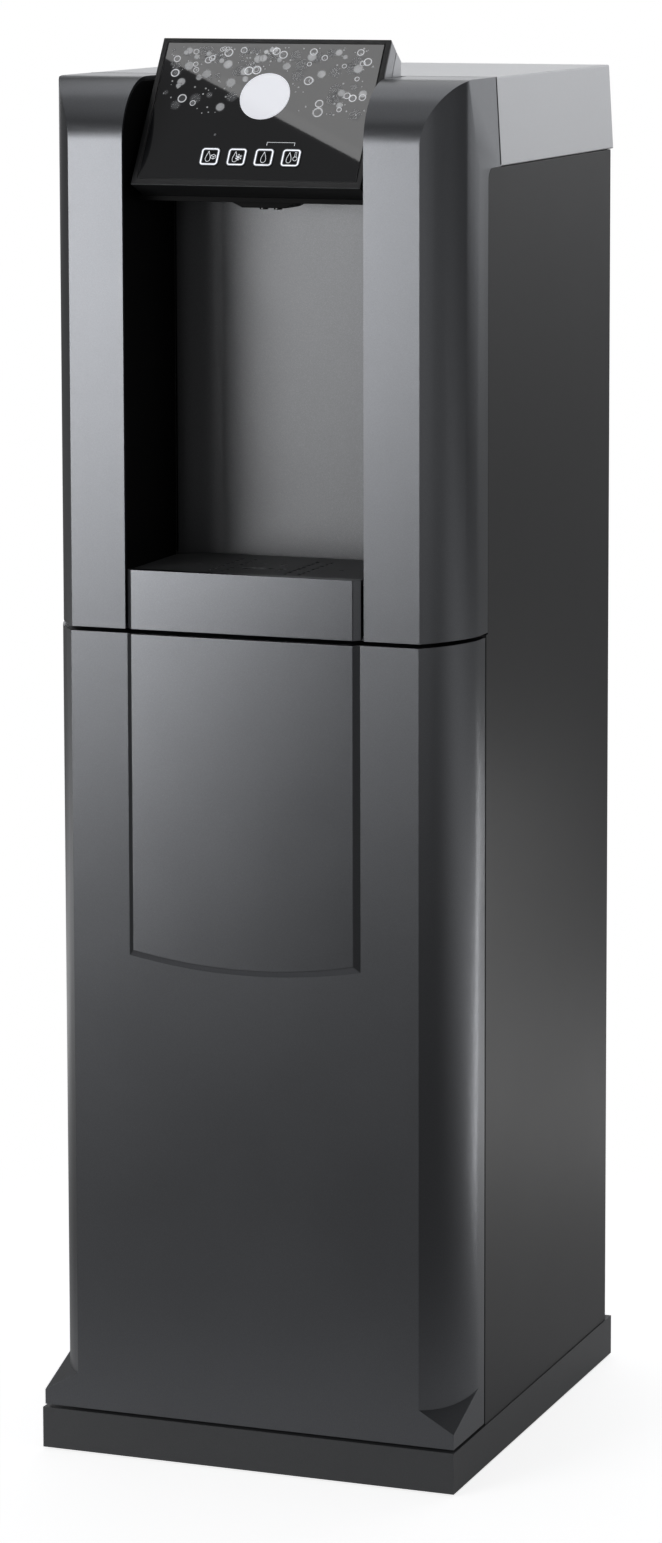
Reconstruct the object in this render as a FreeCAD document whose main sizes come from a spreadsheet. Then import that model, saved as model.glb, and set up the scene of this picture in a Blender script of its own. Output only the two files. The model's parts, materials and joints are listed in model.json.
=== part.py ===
import FreeCAD, Part

import math
import os
import re
import Sketcher

# A bottom load water cooler: a floor-standing cabinet with a bottle compartment behind a
# hinged lower door, a dispensing alcove with a pull-out drip tray, a slanted control head
# with four buttons, and the cooling, heating and pumping parts behind the alcove.
#
# The frame: +Z up, the front faces -Y, +X is to the right of someone who faces the front.
# The origin is on the floor, in the middle of the width and of the overall depth.
# All sizes are millimetres.

os.makedirs("parts", exist_ok=True)
doc = FreeCAD.newDocument("bottom_load_water_cooler")

# ------------------------------------------------------------------ driving dimensions
SIZES = {
    "overall_depth": 406,  # front of the raised centre panel to the back of the plinth
    "body_width": 348,  # outside of one side panel to the outside of the other
    "cabinet_top": 1100,  # floor to the flat top of the cabinet
    "plinth_ledge": 1,  # the plinth stands proud of each side by this
    "plinth_top": 35,  # floor to the top of the plinth
    "plinth_step": 4.7,  # plinth front ahead of the cover front
    "plinth_wall": 5,  # walls and deck of the plinth
    "plinth_rib": 3,  # ribs under the plinth deck
    "plinth_columns": 4,
    "plinth_rows": 5,
    "foot_height": 2,  # rubber feet under the plinth
    "foot_radius": 14,
    "foot_inset": 30,  # foot centre from the plinth edges
    "moulding_wall": 3,  # wall of the plastic covers and of the door
    "sheet": 1.2,  # folded steel sheet
    "fit_gap": 0.3,  # gap between pieces that seat on each other
    "corner_width": 29,  # width of each fluted corner, seen from the front
    "flute_depth": 57,  # how far back the fluted corners reach
    "flute_radius": 110,  # radius of the shallow corner arc
    "tongue_rise": 5.5,  # raised centre panel ahead of the cover front
    "tongue_bevel": 5,  # width of the bevel round the raised panel
    "tongue_gap": 2.1,  # raised panel and tray front inside the alcove's width, each side
    "tongue_low": 401,  # lowest point of the raised panel
    "tongue_drop": 9.5,  # the raised panel's lower edge bows down by this much
    "door_proud": 2,  # door front ahead of the cover front
    "door_seam_low": 1.9,  # gap under the door
    "door_height": 630.5,
    "door_seam": 3.1,  # gap over the door
    "door_side": 70.7,  # door side strip's back edge, behind the cover front
    "door_recess": 30,  # door inner panel's back face, behind the cover front
    "wing_gap": 1.5,  # door inner panel's side wings to the door's side walls
    "inner_wall": 2.5,  # wall of the door inner panel
    "step_inset": 32,  # step between the inner panel's middle and its wings, from its sides
    "wing_depth": 22,  # wings behind the inner panel's middle
    "rib_inset": 60,  # door ribs' ends from the inner panel's sides
    "rib_front": 1.3,
    "rib_thick": 3,
    "flute_stop_front": 66,  # height where the flute ends on the front crease
    "flute_stop_corner": 49,  # height where the flute's land meets the square corner
    "flute_stop_side": 70,  # height where the flute ends on the side
    "hinge_side": 6,  # hinge axis from the door's outer side
    "hinge_back": 12,  # hinge axis from the door's back edge
    "hinge_pin_radius": 2.5,
    "hinge_pin_reach": 3,  # how far a hinge pin stands into the door past its plate
    "pin_play": 0.05,  # running clearance round a pin
    "hinge_boss_radius": 8,
    "magnet_low": 120,
    "magnet_high": 580,
    "magnet_length": 40,
    "magnet_thick": 9,
    "magnet_width": 8,
    "strike_thick": 1.4,  # steel plates that the door's magnets hold to
    "cover_side": 76.7,  # upper cover's side strip, front to back
    "cover_seam": 106,  # seam between front cover and rear top cover
    "cover_crown": 50,  # radius that rounds the front into the top
    "lid_height": 69,  # light band of the rear top cover
    "lid_overhang": 8,  # rear top cover past the side panels' back edge
    "lean": 4,  # how far each side leans in over the lid's height
    "corner_relief": 9,  # rounded upper front corner of the side panels
    "side_panel_front": 73,  # side panel's front edge below the upper cover
    "side_panel_back": 386.7,  # side panel's back edge
    "flange_width": 22,  # folded edges of the side panels
    "back_recess": 11,  # back panel ahead of the side panels' back edges
    "louvre_width": 120,
    "louvre_height": 5,
    "louvre_pitch": 14,
    "louvre_count": 8,
    "louvre_low": 700,
    "alcove_width": 199.2,  # inside width of the dispensing alcove
    "alcove_side_depth": 104.8,  # how far back the alcove's side walls reach
    "alcove_depth": 122,  # alcove's back wall, behind the cover front
    "alcove_corner": 35,  # width of the rounded stretch at each end of the back wall
    "alcove_arc": 44.5,  # radius of that stretch
    "liner_wall": 2,
    "alcove_roof": 1004,  # underside of the alcove's roof plate
    "chin_height": 1008,  # lower edge of the control head
    "head_bar": 6,  # bar of the front cover behind the control head
    "tray_side_gap": 1,  # tray to each alcove wall
    "tray_top": 718.2,  # top edge of the tray front
    "tray_front_low": 671,
    "tray_front_back": 4,  # back face of the tray front, behind the cover front
    "tray_wall": 2,
    "tray_floor": 2.5,
    "tray_back_gap": 5,  # bowl to the alcove's back wall
    "grille_thick": 3.7,
    "grille_lip": 1.5,  # tray front's edge above the grille
    "grille_row": 32,  # middle of each pair of slot rows from the centre line
    "grille_pair": 11.5,  # spacing of a pair of slot rows
    "slot_width": 2.4,
    "slot_length": 6,
    "slot_pitch": 10,
    "slot_count": 8,
    "float_radius": 11,
    "float_height": 14,
    "float_pin_radius": 2,
    "float_place": 58,  # float's centre from the centre line
    "float_depth": 60,  # float's centre behind the cover front
    "panel_low_y": 6,  # lower edge of the slanted panel, behind the cover front
    "panel_low_z": 1018,
    "panel_tilt": 57.85,  # slope of the panel above level
    "panel_length": 131,  # lower edge to top edge, along the slope
    "head_gap": 4.6,  # control head to each alcove wall
    "chin_depth": 30.9,  # chin, behind the cover front
    "head_foot": 48,  # back of the head frame at its foot
    "head_rear_y": 97.5,  # back of the rear hood
    "hood_foot": 1085,
    "bezel": 4.7,  # frame beside the glass
    "glass_low": 5.9,  # glass from the panel's lower edge
    "glass_length": 120.9,
    "glass_thick": 2,
    "glass_sunk": 0.2,  # glass face below the bezel's face
    "glass_ledge": 3,  # seat of the glass in the housing
    "cavity_depth": 11,
    "button_size": 16.3,
    "button_round": 3,
    "button_pitch": 22.4,
    "button_first": -34,
    "button_height": 25.5,  # button centres from the panel's lower edge
    "button_gap": 0.25,
    "button_travel": 1.2,
    "button_lip": 1.5,  # hidden rim that holds a button behind the glass
    "button_lip_thick": 1,
    "nozzle_block_half": 28,
    "nozzle_block_foot": 18,
    "nozzle_block_front": 46,
    "nozzle_block_back": 78,
    "nozzle_block_drop": 5,
    "nozzle_spread": 6,  # each outlet from the centre line
    "nozzle_depth": 62,
    "nozzle_radius": 3.4,
    "nozzle_bore": 2.4,
    "nozzle_tip": 997,
    "shelf_height": 612,  # top of the machine shelf
    "shelf_lip": 18,
    "platform_height": 46,  # top of the bottle platform
    "platform_wall": 3,
    "platform_margin": 24,
    "platform_rim": 2,  # least rim round the bottle's recess, in front of it
    "platform_back": 12,  # platform past the bottle's space, at the back
    "platform_front": 76,  # bottle platform and bottle space, behind the cover front
    "bottle_space": 275,  # width and depth kept for the bottle
    "cold_block_width": 140,  # foam block round the cold tank
    "cold_block_height": 235,
    "cold_tank_radius": 60,
    "cold_tank_height": 200,
    "cold_foot_slope": 6,
    "cold_top_slope": 10,
    "neck_wall": 2,
    "neck_sunk": 2,  # tank necks start below the tank's top
    "neck_rise": 12,
    "hot_tank_radius": 46,
    "hot_tank_height": 170,
    "hot_leg": 24,  # hot tank's legs
    "hot_leg_radius": 5,
    "hot_leg_inset": 16,
    "hot_leg_sunk": 3,
    "hot_leg_count": 3,
    "hot_slope": 12,  # bevels at the hot tank's ends
    "hot_neck_place": 20,
    "band_low": 60,  # heater band round the hot tank
    "band_height": 24,
    "band_thick": 2,
    "compressor_radius": 56,
    "compressor_height": 130,
    "grommet_height": 12,
    "grommet_radius": 8,
    "can_foot_inset": 6,  # compressor can's narrower foot
    "can_foot_height": 12,
    "can_belly": 20,  # height where the can reaches its full width
    "can_shoulder": 40,  # where its dome starts, below the top
    "can_brow": 15,
    "can_brow_inset": 10,
    "can_crown_inset": 32,
    "base_plate": 3,
    "base_margin": 10,  # base plate past the grommets' middles
    "pump_radius": 27,
    "pump_length": 74,
    "pump_lift": 4,  # pump motor above the shelf
    "pump_head_front": 14,
    "pump_head_back": 20,
    "pump_head_half": 20,
    "pump_head_foot": 2,
    "pump_head_rise": 6,
    "pump_foot_front": 5,
    "pump_foot_half": 24,
    "pump_foot_height": 6,
    "condenser_margin": 29,  # condenser's ends from the cabinet's sides
    "condenser_low": 130,
    "condenser_pitch": 52,
    "condenser_runs": 9,
    "condenser_tube": 2.4,  # radius of the condenser tube
    "condenser_wire": 0.8,  # radius of the condenser's wires
    "condenser_entry_bend": 5,
    "condenser_straight": 1,  # straight bit between the two quarters of a turn
    "wire_reach": 15,  # wires past the first and last run
    "wire_margin": 30,  # outer wires from the condenser's ends
    "rail_width": 6,  # flat bars across the wires' ends
    "rail_over": 4,
    "rail_end": 3,
    "strip_place": 50,  # mounting strips from the condenser's ends
    "strip_width": 8,
    "contact_gap": 0.05,  # pieces that lie on each other stand this far apart
    "condenser_lead": 12,  # where the tube enters the back panel, from the first bend
    "bend_steps": 4,  # straight steps that a quarter bend of a tube is made of
    "tube_sides": 10,
    "wire_count": 18,
    "tube_radius": 4,  # water lines
    "hose_bend": 24,
    "loop_straight": 2,  # straight bit at the top of the suction hose's loop
    "hose_rise": 80,  # suction hose's loop above the pump
    "hose_over": 50,  # water lines' straight ends
    "valve_axis": 16,
    "probe_tube_radius": 7,
    "probe_length": 470,
    "probe_collar_radius": 20,
    "probe_collar_height": 30,
    "probe_collar_taper": 3,
    "probe_stem_sunk": 20,
    "clip_half": 11,
    "clip_length": 22,
    "clip_open": 2,  # clip ends short of the stem's far side
    "head_seam": 0.4,  # dark line between the head's frame and its hood
    "seam_top_y": 87,  # upper end of that line, behind the cover front
    "seam_top_rise": 19.7,  # and above the cabinet's top
    "seam_foot_y": 76.5,
    "hood_edge_rise": 11.7,  # the hood's back edge rises by this before it leans
    "hood_edge_lean": 0.9,
    "probe_inset": 24,  # probe's middle line from the cabinet's side
    "probe_y": 347,
    "probe_top": 592,
    "clip_height": 400,
    "foam_floor": 5,  # foam under the cold tank
    "cold_inset": 84,
    "cold_y": 201,
    "neck_spread": 30,
    "hot_inset": 79,
    "hot_y": 196,
    "compressor_inset": 79,
    "compressor_y": 312,
    "mount_x": 58,
    "mount_y": 42,
    "pump_inset": 28,
    "pump_y": 300,
    "valve_x": 16,
    "valve_front": 60,
    "valve_back": 104,
    "condenser_standoff": 7,  # tube's middle line from the back panel
    "drier_radius": 10,
    "drier_x": 0,
    "drier_low": 650,
    "inlet_inset": 74,
    "inlet_width": 32,
    "fitting_spacing": 49,  # hot switch from the mains inlet
    "switch_width": 20,
    "power_box_inset": 24,
    "power_box_width": 140,
    "power_box_depth": 46,
    "power_box_low": 775,
    "power_box_height": 95,
    "fitting_z": 900,
    "fitting_height": 26,
    "fitting_rim": 2.5,  # a fitting's rim past its hole
    "fitting_rim_thick": 1.5,
    "fitting_wall": 3,
    "fitting_floor": 2,
    "inlet_depth": 16,
    "switch_depth": 14,
    "blade_half": 1,  # contact blades in the mains inlet
    "blade_half_height": 2.5,
    "blade_reach": 15,
    "blade_sunk": 2,
    "blade_spread": 7,
    "blade_low": 2,
    "blade_high": 3,
    "rocker_pin": 1.5,
    "rocker_pin_inset": 1.5,
    "rocker_hole_inset": 1.2,
    "rocker_side_gap": 3.3,
    "rocker_end_gap": 3.6,
    "rocker_sunk": 4,
    "rocker_tip": 3.2,
    "rocker_waist": 2.2,
    "rocker_taper": 3,
    "drain_inset": 64,
    "drain_z": 640,
    "drain_radius": 10,
    "drain_hole": 14,
    "drain_collar": 6,  # spout's collar past its stem
    "drain_collar_thick": 2,
    "drain_back": 26,  # spout's stem inside the cabinet
    "drain_out": 14,  # and outside it
    "drain_wall": 2.5,
    "drain_bore_back": 20,
    "drain_sleeve_back": 3,
    "cap_wall": 3,
    "cap_low": 2.3,
    "cap_top": 17,
    "cap_floor": 2.7,
}

# places and widths that follow from the sizes above
WORKED_OUT = {
    "tongue_width": "alcove_width - 2 * tongue_gap",
    "head_width": "alcove_width - 2 * head_gap",
    "glass_width": "alcove_width - 2 * head_gap - 2 * bezel",
    "plinth_width": "body_width + 2 * plinth_ledge",
    "front_flat": "body_width - 2 * corner_width",
    "platform_width": "body_width - 2 * platform_margin",
    "condenser_width": "body_width - 2 * condenser_margin",
    "probe_x": "body_width / 2 - probe_inset",
    "pump_x": "body_width / 2 - pump_inset",
    "cold_x": "body_width / 2 - cold_inset",
    "hot_x": "body_width / 2 - hot_inset",
    "compressor_x": "body_width / 2 - compressor_inset",
    "drain_x": "body_width / 2 - drain_inset",
    "inlet_x": "body_width / 2 - inlet_inset",
    "switch_x": "body_width / 2 - inlet_inset - fitting_spacing",
}

sheet = doc.addObject("Spreadsheet::Sheet", "Size")
for row, (alias, value) in enumerate(SIZES.items(), start=1):
    sheet.set(f"A{row}", alias)
    sheet.set(f"B{row}", str(value))
    sheet.setAlias(f"B{row}", alias)
doc.recompute()


def formula(text):
    """A formula in plain size names, as an expression that reads the sheet."""
    def spelled(word):
        if word[0] in WORKED_OUT:
            return f"({formula(WORKED_OUT[word[0]])})"
        return f"Size.{word[0]}" if word[0] in SIZES else word[0]
    return re.sub(r"[a-z_]\w*", spelled, str(text))


def number(text):
    """The value that a formula has now."""
    return float(sheet.evalExpression(formula(text)))


def bind(thing, **links):
    """Tie properties to formulas; a double underscore stands for a dot."""
    for name, text in links.items():
        thing.setExpression(name.replace("__", "."), formula(text))


def behind(text):
    """The place along Y that lies so far behind the flat front of the upper cover."""
    return f"(tongue_rise - overall_depth / 2 + {text})"


# ------------------------------------------------------------------ places worked out
DOOR_LOW = "(plinth_top + door_seam_low)"
DOOR_TOP = f"({DOOR_LOW} + door_height)"
COVER_LOW = f"({DOOR_TOP} + door_seam)"
TRAY_BAY = f"({COVER_LOW} + moulding_wall)"
LID_LOW = "(cabinet_top - lid_height)"
INNER_SIDE = "(body_width / 2 - sheet)"
BACK_FACE = behind("side_panel_back - back_recess")
CONDENSER_Y = f"({BACK_FACE} + sheet + condenser_standoff)"
HINGE_X = "(hinge_side - body_width / 2)"
HINGE_Y = behind("door_side - hinge_back")
TRAY_HALF = "(alcove_width / 2 - tray_side_gap)"
BOWL_TOP = "(tray_top - grille_lip - grille_thick)"
TRAY_BACK = behind("alcove_depth - tray_back_gap")

CONDENSER_BEND = "((condenser_pitch - condenser_straight) / 2)"
CONDENSER_TOP = "(condenser_low + (condenser_runs - 1) * condenser_pitch + wire_reach)"
CONDENSER_END = f"(condenser_width / 2 - {CONDENSER_BEND} - condenser_lead)"

PLINTH_CELL_X = "((plinth_width - 2 * plinth_wall - (plinth_columns - 1) * plinth_rib) / plinth_columns)"
PLINTH_DEPTH = "(overall_depth - tongue_rise + plinth_step)"
PLINTH_CELL_Y = f"(({PLINTH_DEPTH} - 2 * plinth_wall - (plinth_rows - 1) * plinth_rib) / plinth_rows)"
MAGNET_HEIGHTS = (("lower", "magnet_low"), ("upper", "magnet_high"))

nodes = {}


def keep(thing, label):
    """Name a finished sub-part."""
    thing.Label = label
    nodes[label] = thing
    return thing


# ------------------------------------------------------------------ ways of making solids
AXIS_TURN = {
    "z": FreeCAD.Rotation(),
    "x": FreeCAD.Rotation(FreeCAD.Vector(0, 1, 0), 90),
    "y": FreeCAD.Rotation(FreeCAD.Vector(1, 0, 0), -90),
}


def block(name, x_span, y_span, z_span):
    """A rectangular block between two places along each axis."""
    box = doc.addObject("Part::Box", name)
    for side, axis, (low, high) in zip(("Length", "Width", "Height"), "xyz", (x_span, y_span, z_span)):
        box.setExpression(side, formula(f"({high}) - ({low})"))
        box.setExpression(f"Placement.Base.{axis}", formula(low))
    return box


def place_round(thing, centre, low, axis):
    """Stand a turned primitive on an axis: its two places across, then its start along."""
    thing.Placement.Rotation = AXIS_TURN[axis]
    across = [letter for letter in "xyz" if letter != axis]
    for letter, text in zip(across, centre):
        thing.setExpression(f"Placement.Base.{letter}", formula(text))
    thing.setExpression(f"Placement.Base.{axis}", formula(low))
    return thing


def rod(name, radius, centre, span, axis="z"):
    """A round bar along an axis."""
    bar = doc.addObject("Part::Cylinder", name)
    bind(bar, Radius=radius, Height=f"({span[1]}) - ({span[0]})")
    return place_round(bar, centre, span[0], axis)


def cone(name, low_radius, high_radius, centre, span, axis="z"):
    """A cone frustum along an axis."""
    taper = doc.addObject("Part::Cone", name)
    bind(taper, Radius1=low_radius, Radius2=high_radius, Height=f"({span[1]}) - ({span[0]})")
    return place_round(taper, centre, span[0], axis)


def join(name, *pieces):
    """Several solids as one."""
    whole = doc.addObject("Part::MultiFuse", name)
    whole.Shapes = list(pieces)
    whole.Refine = True
    return whole


def cut(name, base, *tools):
    """A solid less one or more others."""
    result = doc.addObject("Part::Cut", name)
    result.Base = base
    result.Tool = tools[0] if len(tools) == 1 else join(f"{name}_tools", *tools)
    result.Refine = True
    return result


def tube(name, radius, bore, centre, span, axis="z"):
    """A round bar with a bore right through."""
    inside = rod(f"{name}_bore", bore, centre, (f"{span[0]} - 1", f"{span[1]} + 1"), axis)
    return cut(name, rod(f"{name}_outside", radius, centre, span, axis), inside)


def origin_plane(body, role):
    return next(item for item in body.Origin.OriginFeatures if item.Role == role)


def arc_between(start, end, radius):
    """A circular arc; a positive radius bulges to the right of the way from start to end."""
    chord = end - start
    turn = math.copysign(1, radius)
    right = FreeCAD.Vector(chord.y, -chord.x, 0).normalize() * turn
    sagitta_side = math.sqrt(radius * radius - chord.Length * chord.Length / 4)
    middle = (start + end) / 2 - right * sagitta_side
    top = middle + right * abs(radius)
    return Part.Arc(start, top, end)


def outline(body, plane, points, offset="0"):
    """A closed sketch on one of the body's own planes.

    Each point is two formulas; a third one is the radius of the arc to the next point.
    """
    sketch = body.newObject("Sketcher::SketchObject", f"{body.Name}_sketch")
    sketch.AttachmentSupport = [(origin_plane(body, plane), "")]
    sketch.MapMode = "FlatFace"
    sketch.setExpression("AttachmentOffset.Base.z", formula(offset))
    corners = [FreeCAD.Vector(number(point[0]), number(point[1]), 0) for point in points]
    count = len(points)
    for index, point in enumerate(points):
        start = corners[index]
        end = corners[(index + 1) % count]
        if len(point) == 3:
            sketch.addGeometry(arc_between(start, end, number(point[2])))
        else:
            sketch.addGeometry(Part.LineSegment(start, end))
    starts = [1 if (sketch.getPoint(index,
                                    1) - corners[index]).Length < 1e-6 else 2 for index in range(count)]
    for index in range(count):
        following = (index + 1) % count
        sketch.addConstraint(Sketcher.Constraint(
            "Coincident", index, 3 - starts[index], following, starts[following]))
    for index, point in enumerate(points):
        for kind, text, value in (("DistanceX", point[0], corners[index].x),
                                  ("DistanceY", point[1], corners[index].y)):
            pinned = sketch.addConstraint(Sketcher.Constraint(kind, -1, 1, index, starts[index], value))
            sketch.setExpression(f"Constraints[{pinned}]", formula(text))
        if len(point) == 3:
            pinned = sketch.addConstraint(Sketcher.Constraint("Radius", index, abs(number(point[2]))))
            sketch.setExpression(f"Constraints[{pinned}]", formula(f"abs({point[2]})"))
    return sketch


def new_body(name):
    return doc.addObject("PartDesign::Body", name)


PLANE_SIGN = {"XY_Plane": 1, "XZ_Plane": -1, "YZ_Plane": 1}


def pad(body, plane, points, span):
    """Add a prism between two places along the plane's own axis."""
    low, high = span if PLANE_SIGN[plane] > 0 else (f"-({span[1]})", f"-({span[0]})")
    sketch = outline(body, plane, points, low)
    feature = body.newObject("PartDesign::Pad", f"{body.Name}_pad")
    feature.Profile = sketch
    bind(feature, Length=f"({high}) - ({low})")
    return feature


def pocket(body, plane, points, span):
    """Take a prism away between two places along the plane's own axis."""
    low, high = span if PLANE_SIGN[plane] > 0 else (f"-({span[1]})", f"-({span[0]})")
    sketch = outline(body, plane, points, low)
    feature = body.newObject("PartDesign::Pocket", f"{body.Name}_pocket")
    feature.Profile = sketch
    feature.Reversed = True
    bind(feature, Length=f"({high}) - ({low})")
    return feature


def prism(name, plane, points, span):
    """A body that is one padded outline."""
    body = new_body(name)
    pad(body, plane, points, span)
    return body


def turned(name, points, centre):
    """A body of revolution about an upright axis; the outline gives radius and height."""
    body = new_body(name)
    sketch = outline(body, "XZ_Plane", points)
    feature = body.newObject("PartDesign::Revolution", f"{name}_turn")
    feature.Profile = sketch
    feature.ReferenceAxis = (sketch, ["V_Axis"])
    feature.Angle = 360
    bind(body, Placement__Base__x=centre[0], Placement__Base__y=centre[1])
    return body


def rectangle(x_span, y_span):
    """Four corners of a rectangle in a sketch."""
    (left, right), (low, high) = x_span, y_span
    return [(left, low), (right, low), (right, high), (left, high)]


# ------------------------------------------------------------------ plinth and feet
def make_plinth():
    half = "plinth_width / 2"
    front = behind("-plinth_step")
    back = "overall_depth / 2"
    deck = block("plinth_block", (f"-{half}", half), (front, back), ("foot_height", "plinth_top"))
    cells = []
    for row in range(int(number("plinth_rows"))):
        for column in range(int(number("plinth_columns"))):
            x = f"(plinth_wall - plinth_width / 2 + {column} * ({PLINTH_CELL_X} + plinth_rib))"
            y = f"({front} + plinth_wall + {row} * ({PLINTH_CELL_Y} + plinth_rib))"
            cells.append(block(f"plinth_cell_{row}_{column}", (x, f"{x} + {PLINTH_CELL_X}"),
                               (y, f"{y} + {PLINTH_CELL_Y}"),
                               ("foot_height - 1", "plinth_top - plinth_wall")))
    hollow = cut("plinth_hollow", deck, *cells)
    boss_span = ("foot_height", "plinth_top - plinth_wall")
    boss_centre = ("hinge_boss_radius - plinth_width / 2 + 1", HINGE_Y)
    bosses = [rod("plinth_hinge_boss", "hinge_boss_radius", boss_centre, boss_span)]
    for index, centre in enumerate(foot_places()):
        bosses.append(rod(f"plinth_foot_boss_{index}", "foot_radius", centre, boss_span))
    solid = join("plinth_solid", hollow, *bosses)
    pin = rod("plinth_pin_hole", "hinge_pin_radius", (HINGE_X, HINGE_Y),
              ("plinth_top - 20", "plinth_top + 1"))
    keep(cut("plinth", solid, pin), "plinth_base")


def foot_places():
    side = "(plinth_width / 2 - foot_inset)"
    front = behind("foot_inset")
    back = "(overall_depth / 2 - foot_inset)"
    return [(f"{sign}{side}", place) for place in (front, back) for sign in ("-", "")]


def make_feet():
    for index, centre in enumerate(foot_places(), start=1):
        foot = cone(f"foot_{index}", "foot_radius - 2", "foot_radius", centre, ("0", "foot_height"))
        keep(foot, f"foot_pad_{index}")


# ------------------------------------------------------------------ folded steel sheets
def make_side_panel(label, sign):
    """Outer skin with folded front and back edges; its upper front corner is rounded."""
    body = new_body(label)
    front = behind("side_panel_front")
    upper_front = behind("cover_side + fit_gap")
    back = behind("side_panel_back")
    step = f"({COVER_LOW} - door_seam / 2)"
    top = f"({LID_LOW} - fit_gap)"
    skin = [(front, "plinth_top"), (back, "plinth_top"), (back, top),
            (behind("cover_side + fit_gap + corner_relief"), top, "corner_relief"),
            (upper_front, f"{top} - corner_relief"), (upper_front, step), (front, step)]
    outside, inside = f"{sign}body_width / 2", f"{sign}(body_width / 2 - sheet)"
    span = (outside, inside) if sign == "-" else (inside, outside)
    pad(body, "YZ_Plane", skin, span)
    fold = f"{sign}(body_width / 2 - flange_width)"
    fold_span = (outside, fold) if sign == "-" else (fold, outside)
    pad(body, "XY_Plane", rectangle(fold_span, (front, f"{front} + sheet")), ("plinth_top", step))
    pad(body, "XY_Plane", rectangle(fold_span, (f"{back} - sheet", back)), ("plinth_top", top))
    if sign == "-":
        return keep(body, label)
    strikes = [block(f"strike_{place}", ("body_width / 2 - moulding_wall - 12",
                                         "body_width / 2 - moulding_wall"),
                     (behind("side_panel_front - strike_thick"), front), (z, f"{z} + magnet_length"))
               for place, z in MAGNET_HEIGHTS]
    return keep(join(f"{label}_whole", body, *strikes), label)


def make_back_panel():
    half = f"({INNER_SIDE} - fit_gap)"
    panel = block("back_sheet", (f"-{half}", half), (BACK_FACE, f"{BACK_FACE} + sheet"),
                  ("plinth_top", f"{LID_LOW} - fit_gap"))
    slots = []
    for index in range(int(number("louvre_count"))):
        low = f"louvre_low + {index} * louvre_pitch"
        slots.append(block(f"louvre_{index}", ("-louvre_width / 2", "louvre_width / 2"),
                           (f"{BACK_FACE} - 1", f"{BACK_FACE} + sheet + 1"), (low, f"{low} + louvre_height")))
    through = (f"{BACK_FACE} - 1", f"{BACK_FACE} + sheet + 1")
    fitting_rows = ("fitting_z - fitting_height / 2", "fitting_z + fitting_height / 2")
    holes = [rod("drain_panel_hole", "drain_hole", ("-drain_x", "drain_z"), through, "y")]
    for name, x, width in (("inlet", "inlet_x", "inlet_width"), ("switch", "switch_x", "switch_width")):
        holes.append(block(f"{name}_panel_hole", (f"{x} - {width} / 2", f"{x} + {width} / 2"), through,
                           fitting_rows))
    last = "condenser_low + (condenser_runs - 1) * condenser_pitch"
    holes.append(rod("condenser_inlet_hole", "condenser_tube + 0.6", (CONDENSER_END, "condenser_low"),
                     through, "y"))
    holes.append(rod("condenser_outlet_hole", "condenser_tube + 0.6", (f"-{CONDENSER_END}", last), through,
                     "y"))
    strips = []
    for part, sign in (("left", "-"), ("right", "")):
        inner = f"{sign}(condenser_width / 2 - strip_place - strip_width)"
        outer = f"{sign}(condenser_width / 2 - strip_place)"
        span = (outer, inner) if sign else (inner, outer)
        depth = (f"{BACK_FACE} + sheet", f"{CONDENSER_Y} - condenser_tube - contact_gap")
        strips.append(block(f"condenser_strip_{part}", span, depth,
                            ("condenser_low - wire_reach + rail_end", CONDENSER_TOP)))
    keep(join("back_whole", cut("back_holed", panel, *slots, *holes), *strips), "back_panel")


# ------------------------------------------------------------------ fluted front mouldings
def fluted_plan(inset, front, back):
    """The front's outline from above: flat front, convex fluted corners, straight sides."""
    flat = f"(front_flat / 2 - 0.42 * ({inset}))"
    side = f"(body_width / 2 - ({inset}))"
    face = behind(f"({inset}) - ({front})")
    corner = behind("flute_depth")
    radius = f"flute_radius - ({inset})"
    return [(f"-{flat}", face), (flat, face, radius), (side, corner), (side, back),
            (f"-{side}", back), (f"-{side}", corner, radius)]


def lean_wedge(name, sign, inset):
    """The sliver that leaves one side leaning in towards the top."""
    side = f"{sign}(body_width / 2 - ({inset}))"
    top = f"{sign}(body_width / 2 - lean - ({inset}))"
    past = f"{sign}(body_width / 2 + 20)"
    top_line = "cabinet_top + 20"
    top_in = f"{sign}(body_width / 2 - lean * (lid_height + 20) / lid_height - ({inset}))"
    points = [(side, LID_LOW), (past, LID_LOW), (past, top_line), (top_in, top_line)]
    if sign == "-":
        points.reverse()
    return prism(name, "XZ_Plane", points, (behind("-30"), "overall_depth / 2 + 30"))


def crown(name, inset):
    """What the rounding from the front into the top takes away."""
    face = behind(f"({inset})")
    top = f"(cabinet_top - ({inset}))"
    radius = f"(cover_crown - ({inset}))"
    points = [(face, f"{top} - {radius}"), (behind("-30"), f"{top} - {radius}"),
              (behind("-30"), f"{top} + 30"),
              (f"{face} + {radius}", f"{top} + 30"), (f"{face} + {radius}", top, radius)]
    wide = "(body_width / 2 + 20)"
    return prism(name, "YZ_Plane", points, (f"-{wide}", wide))


def cover_form(name, inset):
    """The upper front cover's outside, or its hollow when it is inset by the wall."""
    back = behind("cover_seam + 0.4") if inset == "0" else behind("cover_seam + 5")
    low = f"{COVER_LOW} + ({inset})"
    whole = prism(f"{name}_block", "XY_Plane", fluted_plan(inset, "0", back),
                  (low, f"cabinet_top - ({inset})"))
    wedges = [lean_wedge(f"{name}_lean_{side}", sign, inset) for side, sign in (("left", "-"), ("right", ""))]
    return cut(name, whole, crown(f"{name}_crown", inset), *wedges)


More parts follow.
